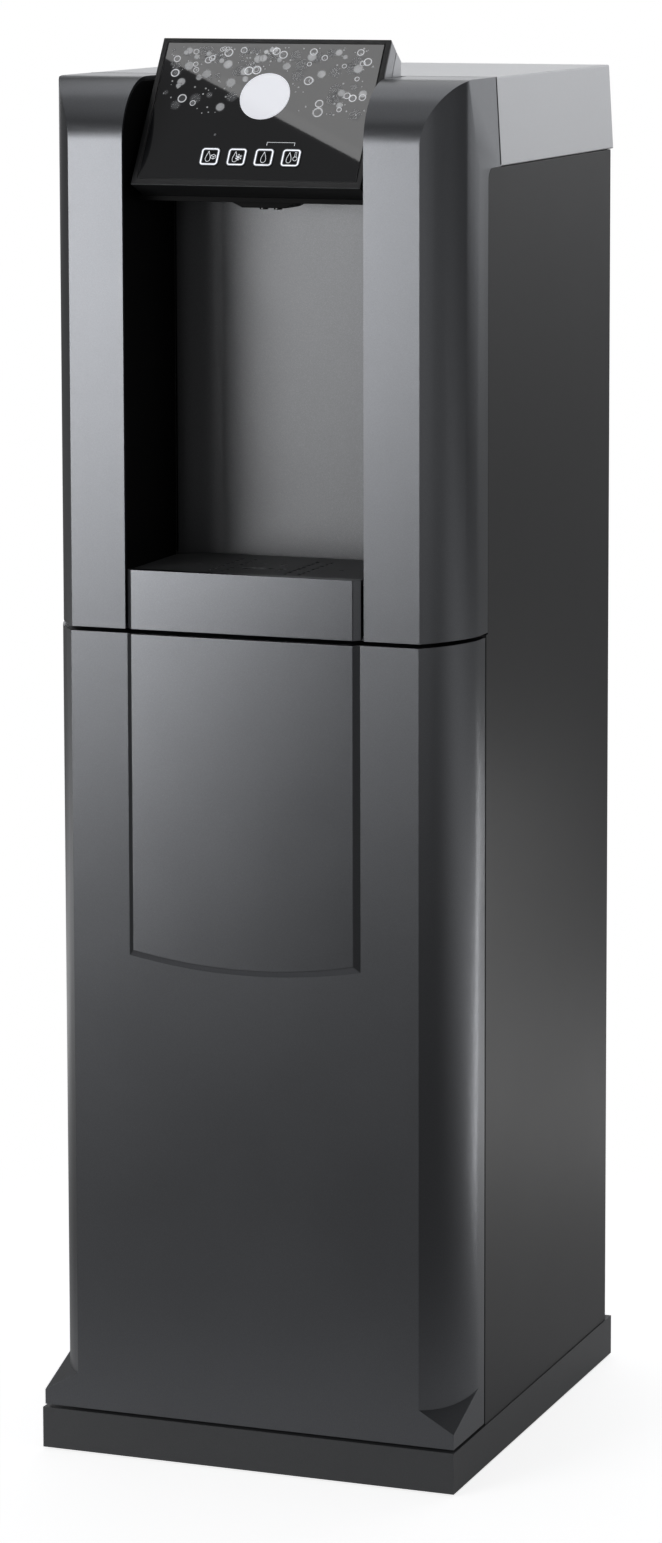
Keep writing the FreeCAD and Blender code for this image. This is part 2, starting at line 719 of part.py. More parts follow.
def make_upper_front_cover():
    outside = cover_form("cover_outside", "0")
    hollow = cover_form("cover_hollow", "moulding_wall")
    wide = "(body_width / 2 + 1)"
    turn = behind("cover_side + corner_relief")
    past = behind("cover_seam + 10")
    under = [(behind("cover_side"), f"{COVER_LOW} - 1"), (past, f"{COVER_LOW} - 1"), (past, LID_LOW),
             (turn, LID_LOW, "corner_relief"), (behind("cover_side"), f"{LID_LOW} - corner_relief")]
    notch = prism("cover_notch", "YZ_Plane", under, (f"-{wide}", wide))
    half = "(alcove_width / 2)"
    mouth = block("cover_mouth", (f"-{half}", half), (behind("-5"), behind("tray_front_back + 1")),
                  (f"{COVER_LOW} - 1", "cabinet_top + 5"))
    opening = block("cover_opening", (f"-{half}", half), (behind("-5"), behind("head_rear_y + fit_gap")),
                    (TRAY_BAY, "cabinet_top + 5"))
    rear = block("cover_rear_opening", (f"-{half}", half), (behind("head_rear_y - 1"),
                                                            behind("cover_seam + 5")),
                 (TRAY_BAY, "cabinet_top - head_bar"))
    pin = rod("cover_pin_hole", "hinge_pin_radius", (HINGE_X, HINGE_Y),
              (f"{COVER_LOW} - 1", f"{TRAY_BAY} + 1"))
    keep(cut("cover", outside, hollow, notch, mouth, opening, rear, pin), "upper_front_cover")


def make_rear_top_cover():
    """The lid over the machine space: a shell with leaning sides, open below."""
    def form(name, inset):
        side = f"(body_width / 2 - ({inset}))"
        front, back = behind("cover_seam + 0.8"), behind("side_panel_back + lid_overhang")
        if inset != "0":
            front, back = behind("cover_seam - 5"), f"{back} - {inset}"
        low = LID_LOW if inset == "0" else f"{LID_LOW} - 5"
        whole = block(f"{name}_block", (f"-{side}", side), (front, back), (low, f"cabinet_top - ({inset})"))
        wedges = [lean_wedge(f"{name}_lean_{part}", sign, inset) for part,
                  sign in (("left", "-"), ("right", ""))]
        return cut(name, whole, *wedges)
    keep(cut("lid", form("lid_outside", "0"), form("lid_hollow", "moulding_wall")), "rear_top_cover")


# ------------------------------------------------------------------ door
def door_form(name, inset, low, high, back):
    """The door's body: a square block less the two flutes, which end on slanted lands."""
    plan = rectangle((f"({inset}) - body_width / 2", f"body_width / 2 - ({inset})"),
                     (behind(f"({inset}) - door_proud"), back))
    whole = prism(f"{name}_block", "XY_Plane", plan, (low, high))
    return cut(name, whole, *[flute_cutter(f"{name}_flute_{part}", sign, inset)
                              for part, sign in (("left", -1), ("right", 1))])


def flute_cutter(name, sign, inset):
    """What one flute takes off the square corner, above the slanted land at its foot."""
    wall = number(inset)
    side, flat = number("body_width / 2"), number("front_flat / 2")
    face, corner = number(behind("-door_proud")), number(behind("flute_depth"))
    crease = FreeCAD.Vector(flat, face, number("flute_stop_front"))
    square = FreeCAD.Vector(side, face, number("flute_stop_corner"))
    side_end = FreeCAD.Vector(side, corner, number("flute_stop_side"))
    normal = (square - crease).cross(side_end - crease).normalize()
    drop = wall / abs(normal.z)
    past = number("flute_depth")

    def on_land(x, y):
        return crease.z - drop - (normal.x * (x - crease.x) + normal.y * (y - crease.y)) / normal.z

    start = FreeCAD.Vector(flat - 0.42 * wall, face + wall, 0)
    end = FreeCAD.Vector(side - wall, corner, 0)
    arc = arc_between(start, end, number("flute_radius") - wall)
    outside = [end, FreeCAD.Vector(side + past, corner, 0), FreeCAD.Vector(side + past, face - past, 0),
               FreeCAD.Vector(start.x, face - past, 0), start]
    edges = [arc.toShape()] + [Part.makeLine(a, b) for a, b in zip(outside, outside[1:])]
    column = Part.Face(Part.Wire(edges)).extrude(FreeCAD.Vector(0, 0, number(DOOR_TOP) + past))
    spread = [(flat - past, face - 2 * past), (side + 2 * past, face - 2 * past),
              (side + 2 * past, corner + past), (flat - past, corner + past)]
    land = [FreeCAD.Vector(x, y, on_land(x, y)) for x, y in spread]
    slab = Part.Face(Part.makePolygon(land + land[:1])).extrude(FreeCAD.Vector(0, 0, -number(DOOR_TOP)))
    shape = column.cut(slab)
    if sign < 0:
        shape = shape.mirror(FreeCAD.Vector(), FreeCAD.Vector(1, 0, 0))
    tool = doc.addObject("Part::Feature", name)
    tool.Shape = shape
    return tool


def make_door_shell():
    back = behind("door_side")
    outside = door_form("door_outside", "0", DOOR_LOW, DOOR_TOP, back)
    hollow = door_form("door_hollow", "moulding_wall", f"{DOOR_LOW} + moulding_wall",
                       f"{DOOR_TOP} - moulding_wall", f"{back} + 5")
    radius = "hinge_pin_radius + pin_play"
    pin = rod("door_pin_holes", radius, (HINGE_X, HINGE_Y), (f"{DOOR_LOW} - 1", f"{DOOR_TOP} + 1"))
    keep(cut("door", outside, hollow, pin), "door_shell")


def make_door_centre_panel():
    """The raised panel: bevelled sides, and a lower edge that bows down as an arc."""
    body = new_body("door_centre")
    base_half, top_half = "tongue_width / 2", "(tongue_width / 2 - tongue_bevel)"
    loops = []
    for half, place, lift in ((base_half, behind("-door_proud"), "0"),
                              (top_half, behind("-tongue_rise"), "tongue_bevel")):
        ends = f"tongue_low + tongue_drop + {lift}"
        bow = f"(({half}) * ({half}) + tongue_drop * tongue_drop) / (2 * tongue_drop)"
        points = [(f"-{half}", ends, bow), (half, ends), (half, DOOR_TOP), (f"-{half}", DOOR_TOP)]
        loops.append(outline(body, "XZ_Plane", points, f"-({place})"))
    loft = body.newObject("PartDesign::AdditiveLoft", "door_centre_loft")
    loft.Profile = loops[0]
    loft.Sections = [loops[1]]
    loft.Ruled = True
    keep(body, "door_centre_panel")


def make_door_inner_panel():
    """The flat pan that closes the door's hollow, with a stiffening recess."""
    half = "(body_width / 2 - moulding_wall - fit_gap)"
    step = f"({half} - step_inset)"
    inside = f"({half} - step_inset - inner_wall)"
    edge = "(body_width / 2 - moulding_wall - wing_gap)"
    low, high = f"{DOOR_LOW} + moulding_wall + fit_gap", f"{DOOR_TOP} - moulding_wall - fit_gap"
    face, back = behind("door_recess - inner_wall"), behind("door_recess")
    wing_face, wing_back = behind("door_recess + wing_depth"), behind("door_recess + wing_depth + inner_wall")
    plate = block("door_inner_plate", (f"-{step}", step), (face, back), (low, high))
    ribs = []
    for index in range(3):
        z = f"{DOOR_LOW} + door_height * {index + 1} / 4"
        ribs.append(block(f"door_rib_{index}", (f"rib_inset - {half}", f"{half} - rib_inset"),
                          (behind("rib_front"), face), (z, f"{z} + rib_thick")))
    wings = [block(f"door_wing_{part}", span, (wing_face, wing_back), (low, high))
             for part, span in (("left", (f"-{edge}", f"-{inside}")), ("right", (inside, edge)))]
    steps = [block(f"door_step_{part}", span, (face, wing_back), (low, high))
             for part, span in (("left", (f"-{step}", f"-{inside}")), ("right", (inside, step)))]
    keep(join("door_inner", plate, *wings, *steps, *ribs), "door_inner_panel")


def make_door_magnets():
    """Two magnets inside the door's right strip."""
    right = "(body_width / 2 - moulding_wall - fit_gap)"
    for place, z in MAGNET_HEIGHTS:
        span = (z, f"{z} + magnet_length")
        magnet = block(f"magnet_{place}", (f"{right} - magnet_thick", right),
                       (behind("door_side - magnet_width"), behind("door_side - fit_gap")), span)
        keep(magnet, f"door_magnet_{place}")


def make_hinge_pins():
    lower = ("plinth_top - 20", f"{DOOR_LOW} + moulding_wall + hinge_pin_reach")
    upper = (f"{DOOR_TOP} - moulding_wall - hinge_pin_reach", f"{TRAY_BAY} + 4")
    for place, span in (("lower", lower), ("upper", upper)):
        keep(rod(f"hinge_pin_{place}", "hinge_pin_radius", (HINGE_X, HINGE_Y), span), f"hinge_pin_{place}")


# ------------------------------------------------------------------ alcove
def make_alcove_sides():
    """Glossy side walls, shaped to the hollow of the cover."""
    low = f"({TRAY_BAY} + fit_gap)"
    top = "(cabinet_top - moulding_wall - fit_gap)"
    crown_radius = "(cover_crown - moulding_wall - fit_gap)"
    front = behind("moulding_wall + fit_gap")
    points = [(front, low), (behind("alcove_side_depth"), low), (behind("alcove_side_depth"), top),
              (f"{front} + {crown_radius}", top, crown_radius), (front, f"{top} - {crown_radius}")]
    inner, outer = "(alcove_width / 2)", "(alcove_width / 2 + liner_wall)"
    keep(prism("alcove_left", "YZ_Plane", points, (f"-{outer}", f"-{inner}")), "alcove_side_left")
    keep(prism("alcove_right", "YZ_Plane", points, (inner, outer)), "alcove_side_right")


def make_alcove_back():
    """The curved back wall with the floor that carries the tray behind the cover's sill."""
    body = new_body("alcove_back")
    end, flat = "(alcove_width / 2)", "(alcove_width / 2 - alcove_corner)"
    wall_y, end_y = behind("alcove_depth"), behind("alcove_side_depth + fit_gap")
    outer_y, outer_end = behind("alcove_depth + liner_wall"), behind("alcove_side_depth + liner_wall + 2")
    plan = [(f"-{end}", end_y), (f"-{end}", outer_end, "-alcove_arc"), (f"-{flat}", outer_y),
            (flat, outer_y, "-alcove_arc"),
            (end, outer_end), (end, end_y, "alcove_arc"), (flat, wall_y), (f"-{flat}", wall_y, "alcove_arc")]
    pad(body, "XY_Plane", plan, (COVER_LOW, "alcove_roof"))
    floor = [(f"-{end}", behind("cover_side + fit_gap")), (end, behind("cover_side + fit_gap")),
             (end, end_y, "alcove_arc"), (flat, wall_y), (f"-{flat}", wall_y, "alcove_arc"), (f"-{end}",
                                                                                              end_y)]
    pad(body, "XY_Plane", floor, (COVER_LOW, TRAY_BAY))
    keep(body, "alcove_back_wall")


def make_alcove_roof():
    """Black roof plate with the nozzle housing hanging below it."""
    half = "(alcove_width / 2 - fit_gap)"
    plate = block("roof_plate", (f"-{half}", half), (behind("chin_depth"), behind("alcove_side_depth")),
                  ("alcove_roof", "chin_height"))
    body = new_body("nozzle_block")
    low = "alcove_roof - nozzle_block_drop"
    points = [("-nozzle_block_foot", low), ("nozzle_block_foot", low), ("nozzle_block_half", "alcove_roof"),
              ("-nozzle_block_half", "alcove_roof")]
    pad(body, "XZ_Plane", points, (behind("nozzle_block_front"), behind("nozzle_block_back")))
    holes = [rod(f"roof_nozzle_hole_{sign}", "nozzle_radius", (f"{sign}nozzle_spread",
                                                               behind("nozzle_depth")),
                 ("alcove_roof - 20", "chin_height + 5")) for sign in ("-", "+")]
    keep(cut("roof", join("roof_whole", plate, body), *holes), "nozzle_housing")


def make_nozzles():
    for label, sign in (("cold_nozzle", "-"), ("hot_nozzle", "+")):
        centre = (f"{sign}nozzle_spread", behind("nozzle_depth"))
        keep(tube(f"{label}_tube", "nozzle_radius", "nozzle_bore", centre, ("nozzle_tip", "chin_height")),
             label)


# ------------------------------------------------------------------ drip tray
def tray_plan(inset):
    """The bowl from above: straight sides and rounded back corners."""
    half = f"({TRAY_HALF} - ({inset}))"
    flat = f"(alcove_width / 2 - alcove_corner - ({inset}))"
    front = behind(f"tray_front_back + fit_gap + ({inset})")
    side_end = behind(f"alcove_side_depth - tray_back_gap - ({inset})")
    back = f"({TRAY_BACK} - ({inset}))"
    radius = "alcove_arc"
    return [(f"-{half}", front), (half, front), (half, side_end, radius), (flat, back),
            (f"-{flat}", back, radius), (f"-{half}", side_end)]


def make_tray_bowl():
    body = new_body("bowl")
    low = f"{TRAY_BAY} + fit_gap"
    pad(body, "XY_Plane", tray_plan("0"), (low, BOWL_TOP))
    pocket(body, "XY_Plane", tray_plan("tray_wall"), (f"{low} + tray_floor", f"{BOWL_TOP} + 1"))
    pin = rod("float_pin", "float_pin_radius", ("-float_place", behind("float_depth")),
              (f"{low} + 1", f"{BOWL_TOP} - 1"))
    keep(join("bowl_with_pin", body, pin), "drip_tray_bowl")


def make_tray_front():
    wide, narrow = "tongue_width / 2", "(tongue_width / 2 - tongue_bevel)"
    points = [(f"-{narrow}", behind("-tongue_rise")), (narrow, behind("-tongue_rise")), (wide, behind("0")),
              (wide, behind("tray_front_back")), (f"-{wide}", behind("tray_front_back")), (f"-{wide}",
                                                                                           behind("0"))]
    keep(prism("tray_front", "XY_Plane", points, ("tray_front_low", "tray_top")), "drip_tray_front")


def make_grille():
    """A black plate with dashed slot rows, an oval float window and small drain holes."""
    body = new_body("grille_plate")
    top = "tray_top - grille_lip"
    pad(body, "XY_Plane", tray_plan("0"), (BOWL_TOP, top))
    through = (f"{BOWL_TOP} - 1", f"{top} + 1")
    tools = []
    for side in ("-", ""):
        for pair in ("-", "+"):
            for index in range(int(number("slot_count"))):
                x = f"{side}grille_row {pair} grille_pair / 2"
                y = behind(f"20 + {index} * slot_pitch")
                tools.append(block(f"slot_{side == '-'}_{pair == '-'}_{index}",
                                   (f"{x} - slot_width / 2", f"{x} + slot_width / 2"),
                                   (y, f"{y} + slot_length"), through))
    for index, (x, y, radius) in enumerate(GRILLE_HOLES):
        tools.append(rod(f"grille_hole_{index}", radius, (x, behind(y)), through))
    keep(cut("grille", body, *tools), "drip_tray_grille")


# middle of each round hole across and behind the front, and its radius
GRILLE_HOLES = (("-12", "44", "6"), ("-5", "44", "6"), ("5", "48", "3"), ("14", "48", "3"),
                ("14", "37", "2.5"),
                ("-12", "72", "3"), ("5", "73", "3"), ("-60", "57", "2"), ("60", "57", "2"))


def make_float():
    low = f"{TRAY_BAY} + fit_gap + tray_floor + fit_gap"
    centre = ("-float_place", behind("float_depth"))
    keep(tube("float_ring", "float_radius", "float_pin_radius + pin_play", centre,
              (low, f"{low} + float_height")), "tray_float")


# ------------------------------------------------------------------ control head
def head_points():
    """Corners of the head's side view: panel edges from the slope, the rest as placed."""
    slope = "panel_tilt * 1deg"
    low = (behind("panel_low_y"), "panel_low_z")
    top = (f"{low[0]} + panel_length * cos({slope})", f"panel_low_z + panel_length * sin({slope})")
    return low, top


SEAM_TOP = (behind("seam_top_y"), "cabinet_top + seam_top_rise")
SEAM_FOOT = (behind("seam_foot_y"), "cabinet_top")


def make_control_housing():
    low, top = head_points()
    points = [(behind("chin_depth"), "chin_height"), (behind("head_foot"), "chin_height"), SEAM_FOOT,
              SEAM_TOP, top, low]
    half = "head_width / 2"
    body = prism("housing_body", "YZ_Plane", points, (f"-{half}", half))
    recess = panel_plate("glass_recess", "-fit_gap", ("-glass_thick - glass_sunk", "5"))
    cavity = panel_plate("housing_cavity", "glass_ledge", ("-cavity_depth", "0"))
    keep(cut("housing", body, on_panel(recess), on_panel(cavity)), "control_housing")


def on_panel(thing):
    """Carry a piece drawn flat (X across, Y up the slope, Z out of it) to the slanted panel."""
    low, _ = head_points()
    thing.Placement.Rotation = FreeCAD.Rotation(FreeCAD.Vector(1, 0, 0), number("panel_tilt"))
    bind(thing, Placement__Base__y=low[0], Placement__Base__z=low[1],
         Placement__Rotation__Angle="panel_tilt * 1deg")
    return thing


def panel_plate(name, inset, span):
    """A plate of the glass's outline, inset by so much, on the slanted panel."""
    half = f"(glass_width / 2 - ({inset}))"
    points = rectangle((f"-{half}", half), (f"glass_low + ({inset})",
                                            f"glass_low + glass_length - ({inset})"))
    return on_panel(prism(name, "XY_Plane", points, span))


def rounded_square(middle, size, radius):
    """A square with rounded corners, counter-clockwise from its lower edge."""
    x, y = middle
    half = f"({size}) / 2"
    inner = f"({half} - ({radius}))"
    return [(f"{x} - {inner}", f"{y} - {half}"), (f"{x} + {inner}", f"{y} - {half}", radius),
            (f"{x} + {half}", f"{y} - {inner}"), (f"{x} + {half}", f"{y} + {inner}", radius),
            (f"{x} + {inner}", f"{y} + {half}"), (f"{x} - {inner}", f"{y} + {half}", radius),
            (f"{x} - {half}", f"{y} + {inner}"), (f"{x} - {half}", f"{y} - {inner}", radius)]


BUTTONS = ("far_left", "inner_left", "inner_right", "far_right")
GLASS_BACK = "(glass_thick + glass_sunk)"


def button_middle(index):
    return f"button_first + {index} * button_pitch", "button_height"


def make_control_glass():
    """The dark glass plate with a window for each button."""
    glass = panel_plate("glass", "0", (f"-{GLASS_BACK}", "-glass_sunk"))
    for index in range(len(BUTTONS)):
        hole = rounded_square(button_middle(index), "button_size + 2 * button_gap",
                              "button_round + button_gap")
        pocket(glass, "XY_Plane", hole, (f"-{GLASS_BACK} - 1", "1"))
    keep(glass, "control_glass")


def make_buttons():
    """Square caps that show through the glass, each held by a hidden lip."""
    for index, place in enumerate(BUTTONS):
        middle = button_middle(index)
        lip_top = f"-({GLASS_BACK} + fit_gap)"
        lip_low = f"-({GLASS_BACK} + fit_gap + button_lip_thick)"
        body = new_body(f"button_{place}_body")
        pad(body, "XY_Plane", rounded_square(middle, "button_size", "button_round"), (lip_low, "0.3"))
        lip = rounded_square(middle, "button_size + 2 * button_lip", "button_round + button_lip")
        pad(body, "XY_Plane", lip, (lip_low, lip_top))
        pad(body, "XY_Plane", rounded_square(middle, "5", "1"), (f"{lip_low} - 1", lip_low))
        keep(on_panel(body), f"button_{place}")


def make_control_board():
    """The circuit board on its posts, and the rubber mat with a dome under each button."""
    board = panel_plate("board_plate", "glass_ledge + 1", ("-cavity_depth + 1.4", "-cavity_depth + 3"))
    post = panel_plate("board_posts", "glass_ledge + 12", ("-cavity_depth", "-cavity_depth + 1.4"))
    keep(join("board", board, post), "control_board")
    mat = new_body("mat")
    left = "button_first - button_pitch / 2"
    right = f"{left} + {len(BUTTONS)} * button_pitch"
    foot = "-cavity_depth + 3"
    points = rectangle((left, right), ("button_height - button_pitch / 2",
                                       "button_height + button_pitch / 2"))
    pad(mat, "XY_Plane", points, (foot, f"{foot} + 1"))
    for index in range(len(BUTTONS)):
        dome_top = f"-({GLASS_BACK} + fit_gap + button_lip_thick + 1 + button_travel + 0.2)"
        pad(mat, "XY_Plane", rounded_square(button_middle(index), "6", "1.5"), (foot, dome_top))
    keep(on_panel(mat), "keypad_mat")


def make_rear_hood():
    """The wedge behind the head, down to the front cover's bar."""
    seam = "head_seam"
    points = [(f"{SEAM_FOOT[0]} + {seam}", "hood_foot"), (behind("head_rear_y"), "hood_foot"),
              (behind("head_rear_y"), "cabinet_top + 2 * fit_gap"),
              (behind("head_rear_y + hood_edge_lean"), "cabinet_top + hood_edge_rise"),
              (f"{SEAM_TOP[0]} + {seam}", f"{SEAM_TOP[1]} - fit_gap"), (f"{SEAM_FOOT[0]} + {seam}",
                                                                        SEAM_FOOT[1])]
    keep(prism("hood", "YZ_Plane", points, ("-head_width / 2", "head_width / 2")), "head_rear_hood")


# ------------------------------------------------------------------ bottle compartment
def make_shelf():
    half = f"({INNER_SIDE} - fit_gap)"
    front, back = behind("platform_front"), f"({BACK_FACE} - fit_gap)"
    deck = block("shelf_deck", (f"-{half}", half), (front, back), ("shelf_height - sheet", "shelf_height"))
    lip = block("shelf_front_lip", (f"-{half}", half), (front, f"{front} + sheet"),
                ("shelf_height - shelf_lip", "shelf_height"))
    sides = [block(f"shelf_side_lip_{part}", span, (front, back),
                   ("shelf_height - shelf_lip", "shelf_height"))
             for part, span in (("left", (f"-{half}", f"sheet - {half}")),
                                ("right", (f"{half} - sheet", half)))]
    hole = rod("shelf_hose_hole", "tube_radius + 1", ("-probe_x", behind("probe_y")),
               ("shelf_height - 5", "shelf_height + 5"))
    keep(cut("shelf", join("shelf_whole", deck, lip, *sides), hole), "machine_shelf")


def make_platform():
    """The bottle's cradle on the plinth: a plate with a round recess."""
    half, front = "platform_width / 2", behind("platform_front + platform_rim")
    middle = behind("platform_front + bottle_space / 2 + platform_rim")
    plate = block("platform_plate", (f"-{half}", half),
                  (front, behind("platform_front + bottle_space + platform_back")),
                  ("plinth_top", "platform_height"))
    recess = rod("platform_recess", "bottle_space / 2", ("0", middle),
                 ("platform_height - platform_wall", "platform_height + 1"))
    keep(cut("platform", plate, recess), "bottle_platform")


def make_probe():
    """The cap and dip tube that go into the bottle, parked in a clip behind it."""
    centre = ("-probe_x", behind("probe_y"))
    collar_foot = "probe_top - probe_collar_height"
    stem = rod("probe_stem", "probe_tube_radius", centre,
               (f"{collar_foot} - probe_length", "probe_top - probe_stem_sunk"))
    collar = cone("probe_cap", "probe_collar_radius", "probe_collar_radius - probe_collar_taper", centre,
                  (collar_foot, "probe_top"))
    keep(join("probe", stem, collar), "bottle_probe")
    wall = f"(fit_gap - {INNER_SIDE})"
    arm = block("clip_arm", (wall, "-probe_x + probe_tube_radius - clip_open"),
                (behind("probe_y - clip_half"), behind("probe_y + clip_half")),
                ("clip_height", "clip_height + clip_length"))
    grip = rod("clip_grip", "probe_tube_radius + fit_gap", centre,
               ("clip_height - 1", "clip_height + clip_length + 1"))
    keep(cut("clip", arm, grip), "probe_clip")


# ------------------------------------------------------------------ machine space
def make_cold_tank():
    x, y = "-cold_x", behind("cold_y")
    foot = "shelf_height + foam_floor"
    half = "cold_block_width / 2"
    foam = block("foam_block", (f"{x} - {half}", f"{x} + {half}"), (f"{y} - {half}", f"{y} + {half}"),
                 ("shelf_height", "shelf_height + cold_block_height"))
    well = rod("foam_well", "cold_tank_radius + fit_gap", (x, y),
               (foot, "shelf_height + cold_block_height + 1"))
    keep(cut("foam", foam, well), "cold_tank_insulation")
    height = f"({foot} + cold_tank_height)"
    outline = [("0", foot), ("cold_tank_radius - cold_foot_slope", foot),
               ("cold_tank_radius", f"{foot} + cold_foot_slope"),
               ("cold_tank_radius", f"{height} - cold_top_slope"),
               ("cold_tank_radius - cold_top_slope", height), ("0", height)]
    vessel = turned("cold_vessel", outline, (x, y))
    necks = [rod(f"cold_neck_{sign}", "tube_radius + neck_wall", (f"{x} {sign} neck_spread", y),
                 (f"{height} - neck_sunk", f"{height} + neck_rise"))
             for sign in ("-", "+")]
    keep(join("cold", vessel, *necks), "cold_tank")


def make_hot_tank():
    x, y = "hot_x", behind("hot_y")
    foot = "(shelf_height + hot_leg)"
    height = f"({foot} + hot_tank_height)"
    outline = [("0", foot), ("hot_tank_radius - hot_slope", foot),
               ("hot_tank_radius", f"{foot} + hot_slope"), ("hot_tank_radius", f"{height} - hot_slope"),
               ("hot_tank_radius - hot_slope", height), ("0", height)]
    vessel = turned("hot_vessel", outline, (x, y))
    neck = rod("hot_neck", "tube_radius + neck_wall", (f"{x} - hot_neck_place", y),
               (f"{height} - neck_sunk", f"{height} + neck_rise"))
    legs = []
    leg_circle = "(hot_tank_radius - hot_leg_inset)"
    for index in range(int(number("hot_leg_count"))):
        turn = f"{index} * 360deg / hot_leg_count"
        place = (f"{x} + {leg_circle} * cos({turn})", f"{y} + {leg_circle} * sin({turn})")
        legs.append(rod(f"hot_leg_{index}", "hot_leg_radius", place,
                        ("shelf_height", f"{foot} + hot_leg_sunk")))
    band = rod("heater_band", "hot_tank_radius + band_thick", (x, y),
               (f"{foot} + band_low", f"{foot} + band_low + band_height"))
    keep(join("hot", vessel, neck, band, *legs), "hot_tank")


def make_compressor():
    """A hermetic compressor: domed can on a base plate, on four rubber grommets."""
    x, y = "compressor_x", behind("compressor_y")
    foot = "(shelf_height + grommet_height)"
    top = f"({foot} + compressor_height)"
    outline = [("0", foot), ("compressor_radius - can_foot_inset", foot),
               ("compressor_radius - can_foot_inset", f"{foot} + can_foot_height"),
               ("compressor_radius", f"{foot} + can_belly"),
               ("compressor_radius", f"{top} - can_shoulder"),
               ("compressor_radius - can_brow_inset", f"{top} - can_brow"),
               ("compressor_radius - can_crown_inset", top), ("0", top)]
    can = turned("compressor_can", outline, (x, y))
    plate = block("compressor_plate", (f"{x} - mount_x - base_margin", f"{x} + mount_x + base_margin"),
                  (f"{y} - mount_y - base_margin", f"{y} + mount_y + base_margin"),
                  (foot, f"{foot} + base_plate"))
    grommets = []
    for index, (across, along) in enumerate((("-", "-"), ("-", "+"), ("+", "-"), ("+", "+"))):
        centre = (f"{x} {across} mount_x", f"{y} {along} mount_y")
        grommets.append(rod(f"grommet_{index}", "grommet_radius", centre, ("shelf_height", foot)))
    keep(join("compressor_whole", can, plate, *grommets), "compressor")


def make_pump():
    """Motor, pumping head and foot in one housing, with two ports on the head."""
    y, axis_z = behind("pump_y"), "(shelf_height + pump_radius + pump_lift)"
    motor = rod("pump_motor", "pump_radius", (y, axis_z), ("-pump_x", "-pump_x + pump_length"), "x")
    head = block("pump_head", ("-pump_x - pump_head_front", "-pump_x + pump_head_back"),
                 (f"{y} - pump_head_half", f"{y} + pump_head_half"),
                 ("shelf_height + pump_head_foot", f"{axis_z} + pump_radius + pump_head_rise"))
    foot = block("pump_foot", ("-pump_x - pump_foot_front", "-pump_x + pump_length"),
                 (f"{y} - pump_foot_half", f"{y} + pump_foot_half"),
                 ("shelf_height", "shelf_height + pump_foot_height"))
    keep(join("pump_whole", motor, head, foot), "water_pump")


def bent_path(places, bends):
    """The corners of a path whose bends are made of short straight steps."""
    steps = int(number("bend_steps"))
    path = [places[0]]
    for before, corner, after, size in zip(places, places[1:], places[2:], bends):
        towards, onwards = (before - corner).normalize(), (after - corner).normalize()
        half = towards.getAngle(onwards) / 2
        hub = corner + (towards + onwards).normalize() * (size / math.sin(half))
        first = corner + towards * (size / math.tan(half)) - hub
        axis = towards.cross(onwards).normalize()
        turn = FreeCAD.Rotation(axis, -math.degrees(math.pi - 2 * half) / steps)
        for _ in range(steps + 1):
            path.append(hub + first)
            first = turn.multVec(first)
    return path + [places[-1]]


def bent_bar(label, radius, places, bends):
    """A many-sided bar that follows straight runs and bends, one bend size per corner."""
    path = bent_path(places, bends)
    ways = [(end - start).normalize() for start, end in zip(path, path[1:])]
    across = ways[0].cross(FreeCAD.Vector(1, 1, 1)).normalize()
    sides = int(number("tube_sides"))
    ring = [path[0] + FreeCAD.Rotation(ways[0],
                                       360 * side / sides).multVec(across) * radius for side in range(sides)]
    faces = [Part.Face(Part.makePolygon(ring + ring[:1]))]
    for index, way in enumerate(ways):
        mitre = way + ways[min(index + 1, len(ways) - 1)]
        end = path[index + 1]
        following = [point + way * ((end - point).dot(mitre) / way.dot(mitre)) for point in ring]
        for side in range(sides):
            after = (side + 1) % sides
            faces.append(Part.Face(Part.makePolygon(
                [ring[side], ring[after], following[after], following[side], ring[side]])))
        ring = following
    faces.append(Part.Face(Part.makePolygon(ring + ring[:1])))
    line = doc.addObject("Part::Feature", label)
    line.Shape = Part.Solid(Part.makeShell(faces))
    return keep(line, label)


def pipe(label, radius, points, bend):
    """A round tube through corners given as formulas, all bends alike."""
    places = [FreeCAD.Vector(*[number(text) for text in point]) for point in points]
    return bent_bar(label, number(radius), places, [number(bend)] * (len(places) - 2))


def make_lines():
    """The suction hose, the pump's outlet and the two lines to the nozzles' valves."""
    probe = ("-probe_x", behind("probe_y"))
    pump_top = "shelf_height + 2 * pump_radius + 10"
    loop_top = f"{pump_top} + hose_rise"
    port = ("-probe_x", behind("pump_y"))
    pipe("suction_hose", "tube_radius", [(*probe, "probe_top"), (*probe, loop_top), (*port, loop_top),
                                         (*port, pump_top)], "(probe_y - pump_y - loop_straight) / 2")
    cold_top = "shelf_height + foam_floor + cold_tank_height + 12"
    cold_left, cold_right = "-cold_x - neck_spread", "-cold_x + neck_spread"
    over = f"{cold_top} + hose_over"
    pump_out = ("-pump_x + 12", behind("pump_y"))
    pipe("pump_outlet_line", "tube_radius", [(*pump_out, pump_top), (*pump_out, over),
                                             (cold_left, behind("cold_y"), over),
                                        (cold_left, behind("cold_y"), cold_top)], "hose_bend")
    valve_z = "chin_height + valve_axis"
    for label, x, y, low, end in (("cold_line", cold_right, "cold_y", cold_top, "-valve_x"),
                                  ("hot_line", "hot_x - 20", "hot_y",
                                   "shelf_height + hot_leg + hot_tank_height + 12", "valve_x")):
        pipe(label, "tube_radius", [(x, behind(y), low), (x, behind(y), valve_z),
                                    (end, behind("valve_back + hose_over"), valve_z),
                                (end, behind("valve_back"), valve_z)], "hose_bend")


